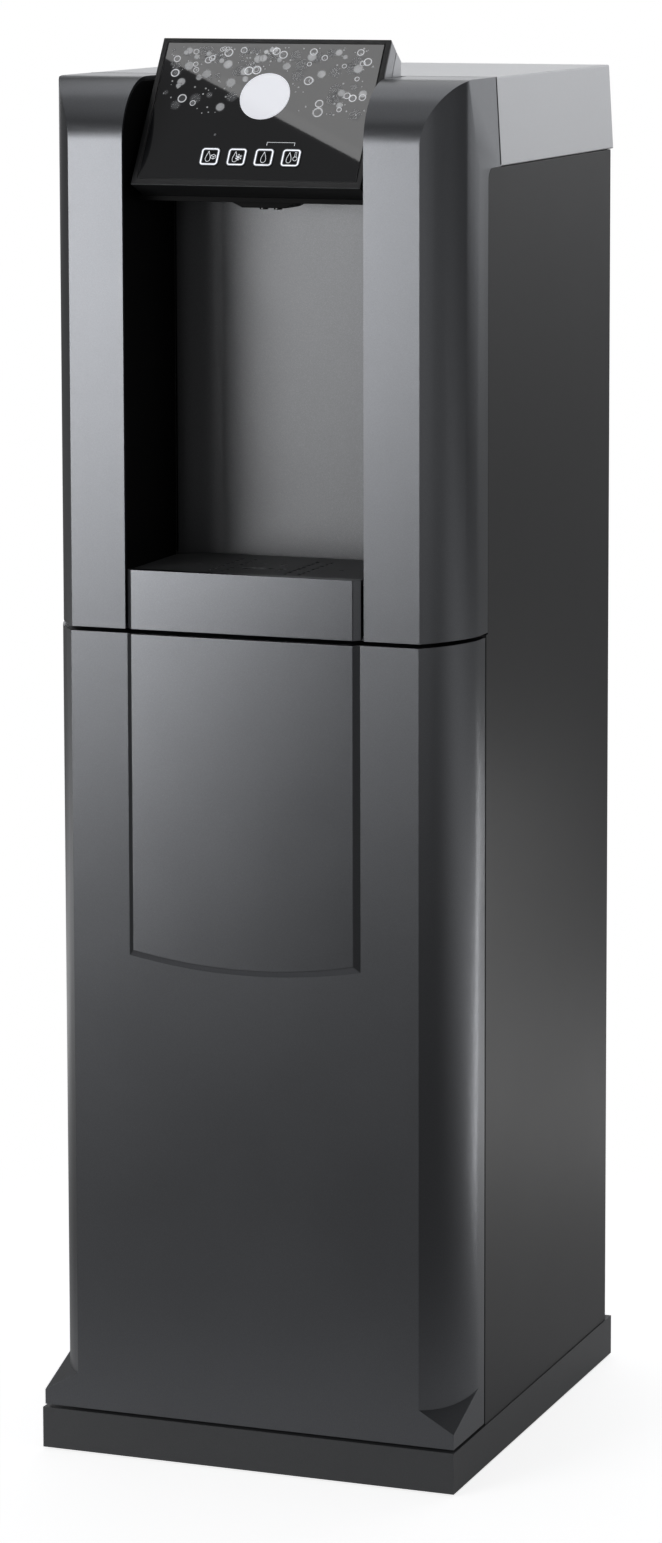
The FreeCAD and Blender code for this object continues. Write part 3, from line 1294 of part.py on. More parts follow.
def make_valves():
    """A solenoid valve on the roof plate over each nozzle."""
    for label, low, high in (("cold_valve", "-2 * valve_x + 2", "-2"), ("hot_valve", "2", "2 * valve_x - 2")):
        base = block(f"{label}_base", (low, high), (behind("valve_front"), behind("valve_back")),
                     ("chin_height", "chin_height + 20"))
        coil = block(f"{label}_coil", (low, high), (behind("valve_front + 14"), behind("valve_back - 6")),
                     ("chin_height + 20", "chin_height + 46"))
        keep(join(f"{label}_whole", base, coil), label)


# ------------------------------------------------------------------ condenser at the back
def make_condenser():
    """A serpentine of one tube with upright wires welded across its runs."""
    plane = CONDENSER_Y
    half = number("condenser_width / 2")
    pitch, low = number("condenser_pitch"), number("condenser_low")
    y, inside = number(plane), number(f"{BACK_FACE} - 3")
    runs = int(number("condenser_runs"))
    bend, end = number(CONDENSER_BEND), number(CONDENSER_END)
    corners = [(end, inside, low), (end, y, low)]
    side = 1
    for index in range(runs):
        side = -side
        corners.append((side * half, y, low + index * pitch))
        if index < runs - 1:
            corners.append((side * half, y, low + (index + 1) * pitch))
    top = low + (runs - 1) * pitch
    corners[-1] = (side * end, y, top)
    corners.append((side * end, inside, top))
    serpentine("condenser_tube", corners, bend)
    wires = []
    wire_y = f"({plane} + condenser_tube + condenser_wire + contact_gap)"
    for index in range(int(number("wire_count"))):
        x = f"(condenser_width - 2 * wire_margin) * ({index} / (wire_count - 1) - 0.5)"
        wire = doc.addObject("Part::Prism", f"wire_{index}")
        wire.Polygon = 6
        bind(wire, Circumradius="condenser_wire", Height=f"{CONDENSER_TOP} - condenser_low + wire_reach",
             Placement__Base__x=x, Placement__Base__y=wire_y, Placement__Base__z="condenser_low - wire_reach")
        wires.append(wire)
    reach = "(condenser_width / 2 - wire_margin + rail_over)"
    rails = [block(f"wire_rail_{index}", (f"-{reach}", reach), (wire_y, f"{wire_y} + sheet"),
                   (z, f"{z} + rail_width"))
             for index, z in enumerate(("condenser_low - wire_reach + rail_end",
                                        f"{CONDENSER_TOP} - rail_end - rail_width"))]
    keep(join("wires", *wires, *rails), "condenser_wires")


def serpentine(label, corners, bend):
    """One tube through the corners; the short bends through the back panel are tighter."""
    places = [FreeCAD.Vector(*corner) for corner in corners]
    count = len(places) - 2
    bends = [number("condenser_entry_bend") if index in (0, count - 1) else bend for index in range(count)]
    bent_bar(label, number("condenser_tube"), places, bends)


def make_filter_drier():
    y = f"({BACK_FACE} - drier_radius - fit_gap)"
    centre = ("drier_x", y)
    body = rod("drier_body", "drier_radius", centre, ("drier_low", "drier_low + 80"))
    ends = [cone("drier_foot", "3", "drier_radius", centre, ("drier_low - 12", "drier_low")),
            cone("drier_head", "drier_radius", "3", centre, ("drier_low + 80", "drier_low + 92"))]
    keep(join("drier", body, *ends), "filter_drier")


# ------------------------------------------------------------------ fittings on the back
def make_power_box():
    right = "(body_width / 2 - power_box_inset)"
    keep(block("power_box", (f"{right} - power_box_width", right),
               (f"{BACK_FACE} - power_box_depth", f"{BACK_FACE} - fit_gap"),
               ("power_box_low", "power_box_low + power_box_height")), "power_board_box")


def back_fitting(name, middle, size, depth):
    """A fitting's frame: a rim outside the back panel and a sleeve through its hole."""
    (x, z), (wide, high) = middle, size
    outer = f"({BACK_FACE} + sheet)"
    reach_x, reach_z = f"({wide} / 2 + fitting_rim)", f"({high} / 2 + fitting_rim)"
    rim = block(f"{name}_rim", (f"{x} - {reach_x}", f"{x} + {reach_x}"),
                (outer, f"{outer} + fitting_rim_thick"), (f"{z} - {reach_z}", f"{z} + {reach_z}"))
    reach_x, reach_z = f"({wide} / 2 - fit_gap)", f"({high} / 2 - fit_gap)"
    sleeve = block(f"{name}_sleeve", (f"{x} - {reach_x}", f"{x} + {reach_x}"),
                   (f"{outer} - {depth}", f"{outer} + 1"), (f"{z} - {reach_z}", f"{z} + {reach_z}"))
    reach_x, reach_z = f"({wide} / 2 - fitting_wall)", f"({high} / 2 - fitting_wall)"
    well = block(f"{name}_well", (f"{x} - {reach_x}", f"{x} + {reach_x}"),
                 (f"{outer} - {depth} + fitting_floor", f"{outer} + 5"),
                 (f"{z} - {reach_z}", f"{z} + {reach_z}"))
    return join(f"{name}_solid", rim, sleeve), well


def make_mains_inlet():
    frame, well = back_fitting("inlet", ("inlet_x", "fitting_z"), ("inlet_width", "fitting_height"),
                               "inlet_depth")
    outer = f"({BACK_FACE} + sheet)"
    places = (("inlet_x - blade_spread", "fitting_z - blade_low"), ("inlet_x", "fitting_z + blade_high"),
              ("inlet_x + blade_spread", "fitting_z - blade_low"))
    blades = [block(f"inlet_blade_{index}", (f"{x} - blade_half", f"{x} + blade_half"),
                    (f"{outer} - blade_reach", f"{outer} - blade_sunk"),
                    (f"{z} - blade_half_height", f"{z} + blade_half_height"))
              for index, (x, z) in enumerate(places)]
    keep(join("inlet_whole", cut("inlet_frame", frame, well), *blades), "mains_inlet")


def make_hot_switch():
    """A rocker on a pin, in its own frame beside the mains inlet."""
    frame, well = back_fitting("switch", ("switch_x", "fitting_z"), ("switch_width", "fitting_height"),
                               "switch_depth")
    pivot_y = f"({BACK_FACE} + sheet - 1)"
    hole_reach = "(switch_width / 2 - rocker_hole_inset)"
    hole = rod("switch_pin_hole", "rocker_pin + pin_play", (pivot_y, "fitting_z"),
               (f"switch_x - {hole_reach}", f"switch_x + {hole_reach}"), "x")
    keep(cut("switch_frame", frame, well, hole), "hot_switch_frame")
    half = "(switch_width / 2 - rocker_side_gap)"
    reach = "(fitting_height / 2 - rocker_end_gap)"
    points = [(f"{pivot_y} - rocker_sunk", f"fitting_z - {reach} + rocker_taper"),
              (f"{pivot_y} + rocker_tip", f"fitting_z - {reach}"),
              (f"{pivot_y} + rocker_waist", "fitting_z"),
              (f"{pivot_y} + rocker_tip", f"fitting_z + {reach}"),
              (f"{pivot_y} - rocker_sunk", f"fitting_z + {reach} - rocker_taper")]
    rocker = prism("rocker_body", "YZ_Plane", points, (f"switch_x - {half}", f"switch_x + {half}"))
    pin_reach = "(switch_width / 2 - rocker_pin_inset)"
    pin = rod("rocker_pin_bar", "rocker_pin", (pivot_y, "fitting_z"),
              (f"switch_x - {pin_reach}", f"switch_x + {pin_reach}"), "x")
    keep(join("rocker", rocker, pin), "hot_switch_rocker")


def make_drain():
    """A drain spout through the back panel, closed by a cap."""
    outer = f"({BACK_FACE} + sheet)"
    centre = ("-drain_x", "drain_z")
    collar = rod("spout_collar", "drain_radius + drain_collar", centre,
                 (outer, f"{outer} + drain_collar_thick"), "y")
    stem = rod("spout_stem", "drain_radius", centre, (f"{outer} - drain_back", f"{outer} + drain_out"), "y")
    neck = rod("spout_sleeve", "drain_hole - fit_gap", centre,
               (f"{outer} - drain_sleeve_back", f"{outer} + 1"), "y")
    bore = rod("spout_bore", "drain_radius - drain_wall", centre,
               (f"{outer} - drain_bore_back", f"{outer} + drain_out + 1"), "y")
    keep(cut("spout", join("spout_solid", collar, stem, neck), bore), "drain_spout")
    cap = rod("cap_outside", "drain_radius + cap_wall", centre,
              (f"{outer} + cap_low", f"{outer} + cap_top"), "y")
    inside = rod("cap_inside", "drain_radius + pin_play", centre,
                 (f"{outer} + drain_collar_thick", f"{outer} + cap_top - cap_floor"), "y")
    keep(cut("cap", cap, inside), "drain_cap")


# ------------------------------------------------------------------ the whole cooler
BUILDERS = (
    make_plinth, make_feet, make_back_panel, make_upper_front_cover,
    make_rear_top_cover, make_door_shell, make_door_centre_panel,
    make_door_inner_panel, make_door_magnets, make_hinge_pins, make_alcove_sides,
    make_alcove_back, make_alcove_roof, make_nozzles, make_tray_bowl,
    make_tray_front, make_grille, make_float, make_control_housing,
    make_control_glass, make_buttons, make_control_board, make_rear_hood,
    make_shelf, make_platform, make_probe, make_cold_tank, make_hot_tank,
    make_compressor, make_pump, make_lines, make_valves, make_condenser,
    make_filter_drier, make_power_box, make_mains_inlet, make_hot_switch,
    make_drain,
)
for build in BUILDERS:
    build()
make_side_panel("left_side_panel", "-")
make_side_panel("right_side_panel", "")
doc.recompute()

for item in doc.Objects:
    if "Invalid" in item.State or "Error" in item.State:
        raise RuntimeError(f"{item.Name} did not recompute: {item.State}")
for label, item in nodes.items():
    if item.Shape.isNull() or not item.Shape.isValid() or not item.Shape.Solids:
        raise RuntimeError(f"{label} has no valid solid")
for label, item in nodes.items():
    item.Shape.exportStep(f"parts/{label}.step")
print(len(nodes), "sub-parts")
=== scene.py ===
# %% [markdown]
# A bottom load water cooler, dressed for a picture.
# The solids come from CAD as a fixed frame: their shapes are right, but they have bare
# colours and razor edges. This lesson gives each one a finish, softens the edges that catch
# light, and adds the thin things that a solid model leaves out, such as prints and screws.

# %% Load the frame
import json
import math

import bmesh
import bpy
from mathutils import Matrix, Vector


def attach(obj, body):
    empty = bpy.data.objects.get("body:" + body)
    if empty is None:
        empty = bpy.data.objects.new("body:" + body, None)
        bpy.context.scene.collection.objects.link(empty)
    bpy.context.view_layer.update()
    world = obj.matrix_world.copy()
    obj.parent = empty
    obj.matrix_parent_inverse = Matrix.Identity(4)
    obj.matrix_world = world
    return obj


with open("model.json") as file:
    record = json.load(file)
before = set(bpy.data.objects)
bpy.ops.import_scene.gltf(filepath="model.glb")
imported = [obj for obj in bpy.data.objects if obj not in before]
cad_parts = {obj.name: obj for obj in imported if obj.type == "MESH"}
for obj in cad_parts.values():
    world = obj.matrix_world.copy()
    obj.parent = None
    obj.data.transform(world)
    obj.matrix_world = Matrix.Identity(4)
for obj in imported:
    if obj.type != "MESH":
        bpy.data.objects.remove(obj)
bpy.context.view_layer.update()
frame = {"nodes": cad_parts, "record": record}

nodes = frame["nodes"]
MM = 0.001

# %% [markdown]
# The photograph was taken from the right of the cooler and a little above its middle, with
# a long lens, so that upright edges stay nearly upright. The same place, turn and lens are
# given to the camera here, so that every edge can be compared with the photograph.

# %% Camera
YAW, PITCH, ROLL = math.radians(20.808), math.radians(7.443), math.radians(-0.142)
forward = Vector((-math.sin(YAW) * math.cos(PITCH), math.cos(YAW) * math.cos(PITCH),
                  -math.sin(PITCH)))
level = Vector((math.cos(YAW), math.sin(YAW), 0))
upward = level.cross(forward)
right_way = level * math.cos(ROLL) + upward * math.sin(ROLL)
up_way = upward * math.cos(ROLL) - level * math.sin(ROLL)

lens = bpy.data.cameras.new("lens")
lens.sensor_fit = "VERTICAL"
lens.sensor_height = 36
lens.lens = 115.788
lens.shift_y = -0.150
camera = bpy.data.objects.new("camera", lens)
bpy.context.scene.collection.objects.link(camera)
turn = Matrix((right_way, up_way, -forward)).transposed().to_4x4()
camera.matrix_world = Matrix.Translation((1.416581, -3.733528, 1.242255)) @ turn
bpy.context.scene.camera = camera
bpy.context.scene.view_settings.view_transform = "Standard"
print("camera at", [round(v, 3) for v in camera.location])

# %% [markdown]
# A grey metallic paint has almost no colour of its own: it shows the room. The picture's
# bright upper half and dark foot are one large soft lamp that ends above the floor, with a
# dark room round it. So the lamps come before the paint, and each one is placed where a
# face mirrors it towards the camera. Light linking keeps a lamp to the pieces it is for: the
# softbox skips the lid, which it would burn out, and the crown card lights the front cover
# alone, where it fills the rounded crowns.

# %% Lamps
def lamp(name, centre, target, wide, high, radiance):
    """A soft rectangular lamp that faces a point; radiance is what a mirror would show."""
    light = bpy.data.lights.new(name, "AREA")
    light.shape = "RECTANGLE"
    light.size, light.size_y = wide, high
    light.energy = 4 * wide * high * radiance
    holder = bpy.data.objects.new(name, light)
    holder.location = centre
    holder.rotation_euler = (Vector(target) - Vector(centre)).to_track_quat("-Z", "Z").to_euler()
    holder.visible_camera = False
    bpy.context.scene.collection.objects.link(holder)
    return holder


softbox = lamp("front_softbox", (-1.49, -2.45, 0.77), (0, -0.2, 0.76), 1.7, 1.05, 3.25)
lamp("overhead", (-0.2, 1.19, 2.3), (-0.2, 1.19, 1.05), 1.3, 2.82, 0.62)
crown_card = lamp("crown_card", (-0.2, -0.93, 2.3), (-0.2, -0.93, 1.05), 1.3, 1.42, 0.26)
lamp("right_low_card", (0.75, 0.5, 0.035), (0.17, 0.1, 0.02), 0.9, 0.06, 5.0)
lamp("front_fill", (-0.6, -2.6, 0.9), (0, -0.2, 0.85), 1.0, 0.75, 0.5)
lamp("right_fill", (2.3, -0.9, 1.0), (0.17, -0.15, 0.85), 1.6, 0.9, 0.28)


def link_lights(name, lamps, pieces, state="INCLUDE"):
    """Keeps lamps to some pieces, or off them when the state is EXCLUDE."""
    group = bpy.data.collections.new(name)
    for lit_by in lamps:
        lit_by.light_linking.receiver_collection = group
    for index, piece in enumerate(pieces):
        group.objects.link(nodes[piece])
        group.collection_objects[index].light_linking.link_state = state
    return group


link_lights("unlit_lid", [softbox], ["rear_top_cover"], "EXCLUDE")
link_lights("lit_cover", [crown_card], ["upper_front_cover"])
print("lamps:", len(bpy.data.lights))

# %% [markdown]
# The control glass shows a slanted border between a dark and a light half: it mirrors the
# edge of a second lamp. A mirror's border is found by following the camera's line to two
# points on the glass and on from there, as a ball bounces; the lamp's edge goes through both.
# This lamp, and a dim card that goes on below its edge, light only the head and what lies on
# its glass, so no other moulding mirrors them.

# %% Lamp behind the slanted border
PANEL_LOW = Vector((0, -0.1915, 1.018))
PANEL_TILT = math.radians(57.85)
panel_up = Vector((0, math.cos(PANEL_TILT), math.sin(PANEL_TILT)))
panel_out = Vector((0, -math.sin(PANEL_TILT), math.cos(PANEL_TILT)))


def on_panel(x, s, lift=0.0):
    """A point of the slanted panel: millimetres across, up the slope, and out of it."""
    return PANEL_LOW + Vector((x * MM, 0, 0)) + panel_up * s * MM + panel_out * lift * MM


def bounced(point, distance):
    """Where the camera's line goes after the glass, so far along."""
    line = (point - camera.location).normalized()
    return point + (line - panel_out * 2 * line.dot(panel_out)) * distance


LAMP_AWAY = 2.2
edge_start = bounced(on_panel(-85, 112), LAMP_AWAY)
edge_end = bounced(on_panel(91, 25), LAMP_AWAY)
far_side = bounced(on_panel(91, 127), LAMP_AWAY)
along = (edge_end - edge_start).normalized()
across = (far_side - edge_start) - along * (far_side - edge_start).dot(along)
wide, high = (edge_end - edge_start).length + 0.3, across.length + 0.12
middle = (edge_start + edge_end) / 2 + across.normalized() * high / 2
glass_lamp = lamp("glass_softbox", middle, on_panel(0, 70), wide, high, 2.6)
facing = (on_panel(0, 70) - middle).normalized()
facing = (facing - along * facing.dot(along)).normalized()
lamp_turn = Matrix((along, (-facing).cross(along), -facing)).transposed().to_4x4()
glass_lamp.matrix_world = Matrix.Translation(middle) @ lamp_turn
CARD_HIGH = 1.1
card_middle = middle - across.normalized() * (high / 2 + CARD_HIGH / 2)
dim_card = lamp("glass_dim_card", middle, on_panel(0, 70), wide, CARD_HIGH, 0.14)
dim_card.matrix_world = Matrix.Translation(card_middle) @ lamp_turn
lit_head = link_lights("lit_head", [glass_lamp, dim_card], ["control_glass", "control_housing"])
print("glass lamp", round(wide, 2), "by", round(high, 2), "m at", [round(v, 2) for v in middle])

# %% [markdown]
# The room is white where the camera looks, as in a product picture. What the cooler mirrors
# is another matter: bright behind it near the horizon, which lights the lid and the sides,
# and dark in front and to the right, which keeps the corners and the door's foot dark.

# %% Room
def wire(tree, *links):
    """Joins sockets two by two."""
    for source, target in zip(links[::2], links[1::2]):
        tree.links.new(source, target)


def ramp(tree, source, stops, easing="EASE"):
    """A ramp from places and grey values."""
    node = tree.nodes.new("ShaderNodeValToRGB")
    node.color_ramp.interpolation = easing
    while len(node.color_ramp.elements) < len(stops):
        node.color_ramp.elements.new(0.5)
    for element, (place, value) in zip(node.color_ramp.elements, stops):
        element.position = place
        element.color = (value, value, value, 1)
    tree.links.new(source, node.inputs[0])
    return node.outputs[0]


def sums(tree, operation, first, second):
    """A Math node; each side is a socket or a number."""
    node = tree.nodes.new("ShaderNodeMath")
    node.operation = operation
    for index, value in enumerate((first, second)):
        if isinstance(value, (int, float)):
            node.inputs[index].default_value = value
        else:
            tree.links.new(value, node.inputs[index])
    return node.outputs[0]


world = bpy.data.worlds.new("room")
bpy.context.scene.world = world
world.use_nodes = True
tree = world.node_tree
tree.nodes.clear()
place = tree.nodes.new("ShaderNodeTexCoord")
axes = tree.nodes.new("ShaderNodeSeparateXYZ")
wire(tree, place.outputs["Generated"], axes.inputs[0])
behind = ramp(tree, axes.outputs["Y"], ((0.7, 0.0), (0.88, 1.0)))
half_height = sums(tree, "ADD", sums(tree, "MULTIPLY", axes.outputs["Z"], 0.5), 0.5)
height = ramp(tree, half_height, ((0.468, 0.05), (0.48, 0.65), (0.505, 0.8), (0.53, 0.75),
                                  (0.6, 0.8), (0.7, 0.0)))
glow = sums(tree, "MULTIPLY", behind, height)
GLOW, DARKEST = 1.35, 0.1
strength = sums(tree, "ADD", sums(tree, "MULTIPLY", glow, GLOW), DARKEST)
dim, white = tree.nodes.new("ShaderNodeBackground"), tree.nodes.new("ShaderNodeBackground")
dim.inputs["Color"].default_value = (0.97, 0.98, 1, 1)
wire(tree, strength, dim.inputs["Strength"])
white.inputs["Color"].default_value = (1, 1, 1, 1)
chooser, rays = tree.nodes.new("ShaderNodeMixShader"), tree.nodes.new("ShaderNodeLightPath")
out = tree.nodes.new("ShaderNodeOutputWorld")
wire(tree, rays.outputs["Is Camera Ray"], chooser.inputs[0], dim.outputs[0], chooser.inputs[1],
     white.outputs[0], chooser.inputs[2], chooser.outputs[0], out.inputs[0])
print("room: white to the camera, dim to the cooler")

# %% [markdown]
# The floor is pale and takes the cooler's soft shadow, and farther out it is as white as the
# room. To a face that mirrors it, the floor is a drawn band of light behind the cooler and
# dark elsewhere, because a plain white floor would wash out the lower half.

# %% Floor
floor_mesh = bmesh.new()
FLOOR_RADIUS = 12
bmesh.ops.create_circle(floor_mesh, cap_ends=True, segments=96, radius=FLOOR_RADIUS)
mesh = bpy.data.meshes.new("floor")
floor_mesh.to_mesh(mesh)
floor_mesh.free()
floor = bpy.data.objects.new("floor", mesh)
bpy.context.scene.collection.objects.link(floor)

pale = bpy.data.materials.new("pale_floor")
pale.use_nodes = True
tree = pale.node_tree
tree.nodes.clear()
place = tree.nodes.new("ShaderNodeTexCoord")
distance = tree.nodes.new("ShaderNodeVectorMath")
distance.operation = "LENGTH"
wire(tree, place.outputs["Object"], distance.inputs[0])
half_distance = sums(tree, "MULTIPLY", distance.outputs["Value"], 0.5)
away = ramp(tree, half_distance, ((0.12, 0.0), (0.42, 1.0)))
split = tree.nodes.new("ShaderNodeSeparateXYZ")
wire(tree, place.outputs["Object"], split.inputs[0])
behind_tenth = sums(tree, "MULTIPLY", split.outputs["Y"], 0.1)
mirrored = ramp(tree, behind_tenth, ((0.0, 0.07), (0.03, 0.2), (0.06, 0.35), (0.1, 0.8),
                                     (0.135, 0.65), (0.175, 0.24), (0.24, 0.12), (0.6, 0.12),
                                     (0.9, 0.05)))
near = tree.nodes.new("ShaderNodeBsdfDiffuse")
lift, far, dark, glow_back = (tree.nodes.new("ShaderNodeEmission") for _ in range(4))
near.inputs["Color"].default_value = (0.85, 0.85, 0.86, 1)
lift.inputs["Strength"].default_value = 0.8
wire(tree, mirrored, dark.inputs["Color"])
seen, whole, unlit = (tree.nodes.new("ShaderNodeMixShader") for _ in range(3))
rays, eased = tree.nodes.new("ShaderNodeLightPath"), tree.nodes.new("ShaderNodeAddShader")
out = tree.nodes.new("ShaderNodeOutputMaterial")
glow_back.inputs["Strength"].default_value = 0.09
wire(tree, rays.outputs["Is Camera Ray"], unlit.inputs[0], glow_back.outputs[0], unlit.inputs[1],
     lift.outputs[0], unlit.inputs[2], near.outputs[0], eased.inputs[0], unlit.outputs[0],
     eased.inputs[1])
wire(tree, rays.outputs["Is Camera Ray"], seen.inputs[0], dark.outputs[0], seen.inputs[1],
     far.outputs[0], seen.inputs[2], away, whole.inputs[0], eased.outputs[0], whole.inputs[1],
     seen.outputs[0], whole.inputs[2], whole.outputs[0], out.inputs[0])
floor.data.materials.append(pale)
print("floor", 2 * FLOOR_RADIUS, "m across, pale at the cooler and white beyond")

# %% [markdown]
# Paint, moulded plastic and sheet metal all have small marks that a flat colour lacks: a
# fine grain, soft cloudy wear and dust. Each effect is a node group, built once, with
# numbers to set its size. The groups put out plain values, and each material feeds them to
# its own shader.

# %% Groups for grain, clouds and brushing
def new_group(name, inputs, outputs):
    """An empty node group with number inputs (name, value) and number outputs."""
    group = bpy.data.node_groups.new(name, "ShaderNodeTree")
    group.interface.new_socket("Place", in_out="INPUT", socket_type="NodeSocketVector")
    for label, value in inputs:
        socket = group.interface.new_socket(label, in_out="INPUT", socket_type="NodeSocketFloat")
        socket.default_value = value
    for label in outputs:
        group.interface.new_socket(label, in_out="OUTPUT", socket_type="NodeSocketFloat")
    return group, group.nodes.new("NodeGroupInput"), group.nodes.new("NodeGroupOutput")


def noise(tree, place, scale, detail, rough):
    """A Noise texture; its scale is a socket."""
    node = tree.nodes.new("ShaderNodeTexNoise")
    node.inputs["Detail"].default_value = detail
    node.inputs["Roughness"].default_value = rough
    tree.links.new(place, node.inputs["Vector"])
    tree.links.new(scale, node.inputs["Scale"])
    return node.outputs[0]


def between(tree, value, low, high):
    """Maps 0..1 to a range."""
    node = tree.nodes.new("ShaderNodeMapRange")
    wire(tree, value, node.inputs["Value"])
    node.inputs["To Min"].default_value = low
    node.inputs["To Max"].default_value = high
    return node.outputs[0]


fine_grain, source, sink = new_group(
    "fine_grain", (("Grains per metre", 1600), ("Contrast", 0.2)), ("Tone", "Height"))
speck = noise(fine_grain, source.outputs["Place"], source.outputs["Grains per metre"], 1.5, 0.6)
cell = fine_grain.nodes.new("ShaderNodeTexVoronoi")
wire(fine_grain, source.outputs["Place"], cell.inputs["Vector"],
     source.outputs["Grains per metre"], cell.inputs["Scale"])
both_grains = sums(fine_grain, "ADD", speck, cell.outputs["Distance"])
mixed = sums(fine_grain, "MULTIPLY", both_grains, 0.6)
centred = sums(fine_grain, "SUBTRACT", mixed, 0.5)
spread = sums(fine_grain, "MULTIPLY", centred, source.outputs["Contrast"])
wire(fine_grain, sums(fine_grain, "ADD", spread, 1.0), sink.inputs["Tone"], mixed,
     sink.inputs["Height"])

soft_clouds, source, sink = new_group(
    "soft_clouds", (("Clouds per metre", 9), ("Amount", 0.1)), ("Tone", "Wear"))
big_scale = source.outputs["Clouds per metre"]
small_scale = sums(soft_clouds, "MULTIPLY", big_scale, 14.0)
big = noise(soft_clouds, source.outputs["Place"], big_scale, 3, 0.55)
small = noise(soft_clouds, source.outputs["Place"], small_scale, 4, 0.6)
blend = sums(soft_clouds, "ADD", sums(soft_clouds, "MULTIPLY", big, 0.7),
             sums(soft_clouds, "MULTIPLY", small, 0.3))
centred = sums(soft_clouds, "SUBTRACT", blend, 0.5)
drift = sums(soft_clouds, "MULTIPLY", centred, source.outputs["Amount"])
wire(soft_clouds, sums(soft_clouds, "ADD", drift, 1.0), sink.inputs["Tone"], drift,
     sink.inputs["Wear"])

brushing, source, sink = new_group(
    "brushing", (("Lines per metre", 900), ("Stretch", 0.02)), ("Tone", "Height"))
stretch = brushing.nodes.new("ShaderNodeVectorMath")
stretch.operation = "MULTIPLY"
factors = brushing.nodes.new("ShaderNodeCombineXYZ")
factors.inputs["X"].default_value = factors.inputs["Y"].default_value = 1
wire(brushing, source.outputs["Stretch"], factors.inputs["Z"],
     source.outputs["Place"], stretch.inputs[0], factors.outputs[0], stretch.inputs[1])
lines = noise(brushing, stretch.outputs[0], source.outputs["Lines per metre"], 3, 0.7)
wire(brushing, between(brushing, lines, 0.82, 1.18), sink.inputs["Tone"], lines,
     sink.inputs["Height"])
print(len(bpy.data.node_groups), "groups")

# %% [markdown]
# One helper lays a finish: object coordinates go through a fine pattern and the clouds, the
# two tones multiply the colour, and the fine pattern's height drives a bump. Every number
# that stays the same over the surface is set on the shader itself.

# %% How a finish is laid
def call_group(tree, group, place, **values):
    """A group node at a place, with its inputs set to numbers."""
    node = tree.nodes.new("ShaderNodeGroup")
    node.node_tree = group
    tree.links.new(place, node.inputs["Place"])
    for label, value in values.items():
        node.inputs[label.replace("_", " ")].default_value = value
    return node


def tinted(tree, colour, tone):
    """A colour times a tone."""
    node = tree.nodes.new("ShaderNodeVectorMath")
    node.operation = "SCALE"
    node.inputs[0].default_value = colour
    tree.links.new(tone, node.inputs["Scale"])
    return node.outputs[0]


def bumped(tree, height, depth, shader, softness=1.0):
    """Drives the shader's normal with a height; depth is in metres."""
    bump = tree.nodes.new("ShaderNodeBump")
    bump.inputs["Strength"].default_value = softness
    bump.inputs["Distance"].default_value = depth
    wire(tree, height, bump.inputs["Height"], bump.outputs[0], shader.inputs["Normal"])


def new_surface(name):
    """A new material, its node tree and its shader."""
    material = bpy.data.materials.new(name)
    material.use_nodes = True
    return material, material.node_tree, material.node_tree.nodes["Principled BSDF"]


FINISHES = {}


def finish(name, colour, roughness, metallic=0.0, pattern=fine_grain, scale=1600, contrast=0.2,
           depth=0.00002, clouds=9, drift=0.1, **sockets):
    """A procedural material; sockets are plain numbers or colours on the shader."""
    material, tree, shader = new_surface(name)
    place = tree.nodes.new("ShaderNodeTexCoord").outputs["Object"]
    if pattern is brushing:
        fine = call_group(tree, brushing, place, Lines_per_metre=scale, Stretch=contrast)
    else:
        fine = call_group(tree, fine_grain, place, Grains_per_metre=scale, Contrast=contrast)
    cloudy = call_group(tree, soft_clouds, place, Clouds_per_metre=clouds, Amount=drift)
    tone = sums(tree, "MULTIPLY", fine.outputs["Tone"], cloudy.outputs["Tone"])
    wire(tree, tinted(tree, colour, tone), shader.inputs["Base Color"])
    wire(tree, sums(tree, "ADD", cloudy.outputs["Wear"], roughness), shader.inputs["Roughness"])
    bumped(tree, fine.outputs["Height"], depth, shader)
    shader.inputs["Metallic"].default_value = metallic
    for label, value in sockets.items():
        shader.inputs[label.replace("_", " ")].default_value = value
    material.diffuse_color = (*colour, 1)
    FINISHES[name] = material
    return material


# %% [markdown]
# The front mouldings are sprayed with a satin metallic anthracite: flakes under a thin
# lacquer. Flakes make a grainy sheen, so the paint is mostly metallic, with a speckle a
# third of a millimetre across. The lid and head wear the same paint in silver.

# %% Paints
paint = finish("anthracite_paint", (0.172, 0.177, 0.188), 0.29, metallic=0.9, scale=2600,
               contrast=0.5, depth=0.00003, drift=0.06)
finish("silver_paint", (0.62, 0.625, 0.64), 0.34, metallic=0.8, scale=2600, contrast=0.3,
       depth=0.00003, drift=0.05)
finish("liner_paint", (0.138, 0.14, 0.145), 0.345, metallic=0.85, scale=2000, contrast=0.55,
       depth=0.00004, drift=0.08)
finish("powder_coat", (0.045, 0.0458, 0.048), 0.38, scale=1400, contrast=0.3, depth=0.00004,
       drift=0.08, Specular_IOR_Level=0.3)
print("paints:", sorted(FINISHES))

# %% [markdown]
# The raised panel of the door and the tray's front are not quite flat: they bow by a few
# degrees from side to side, which makes their sheen fade from left to right. Their solids
# are flat, so the paint leans its normal outward with the distance from the middle line.

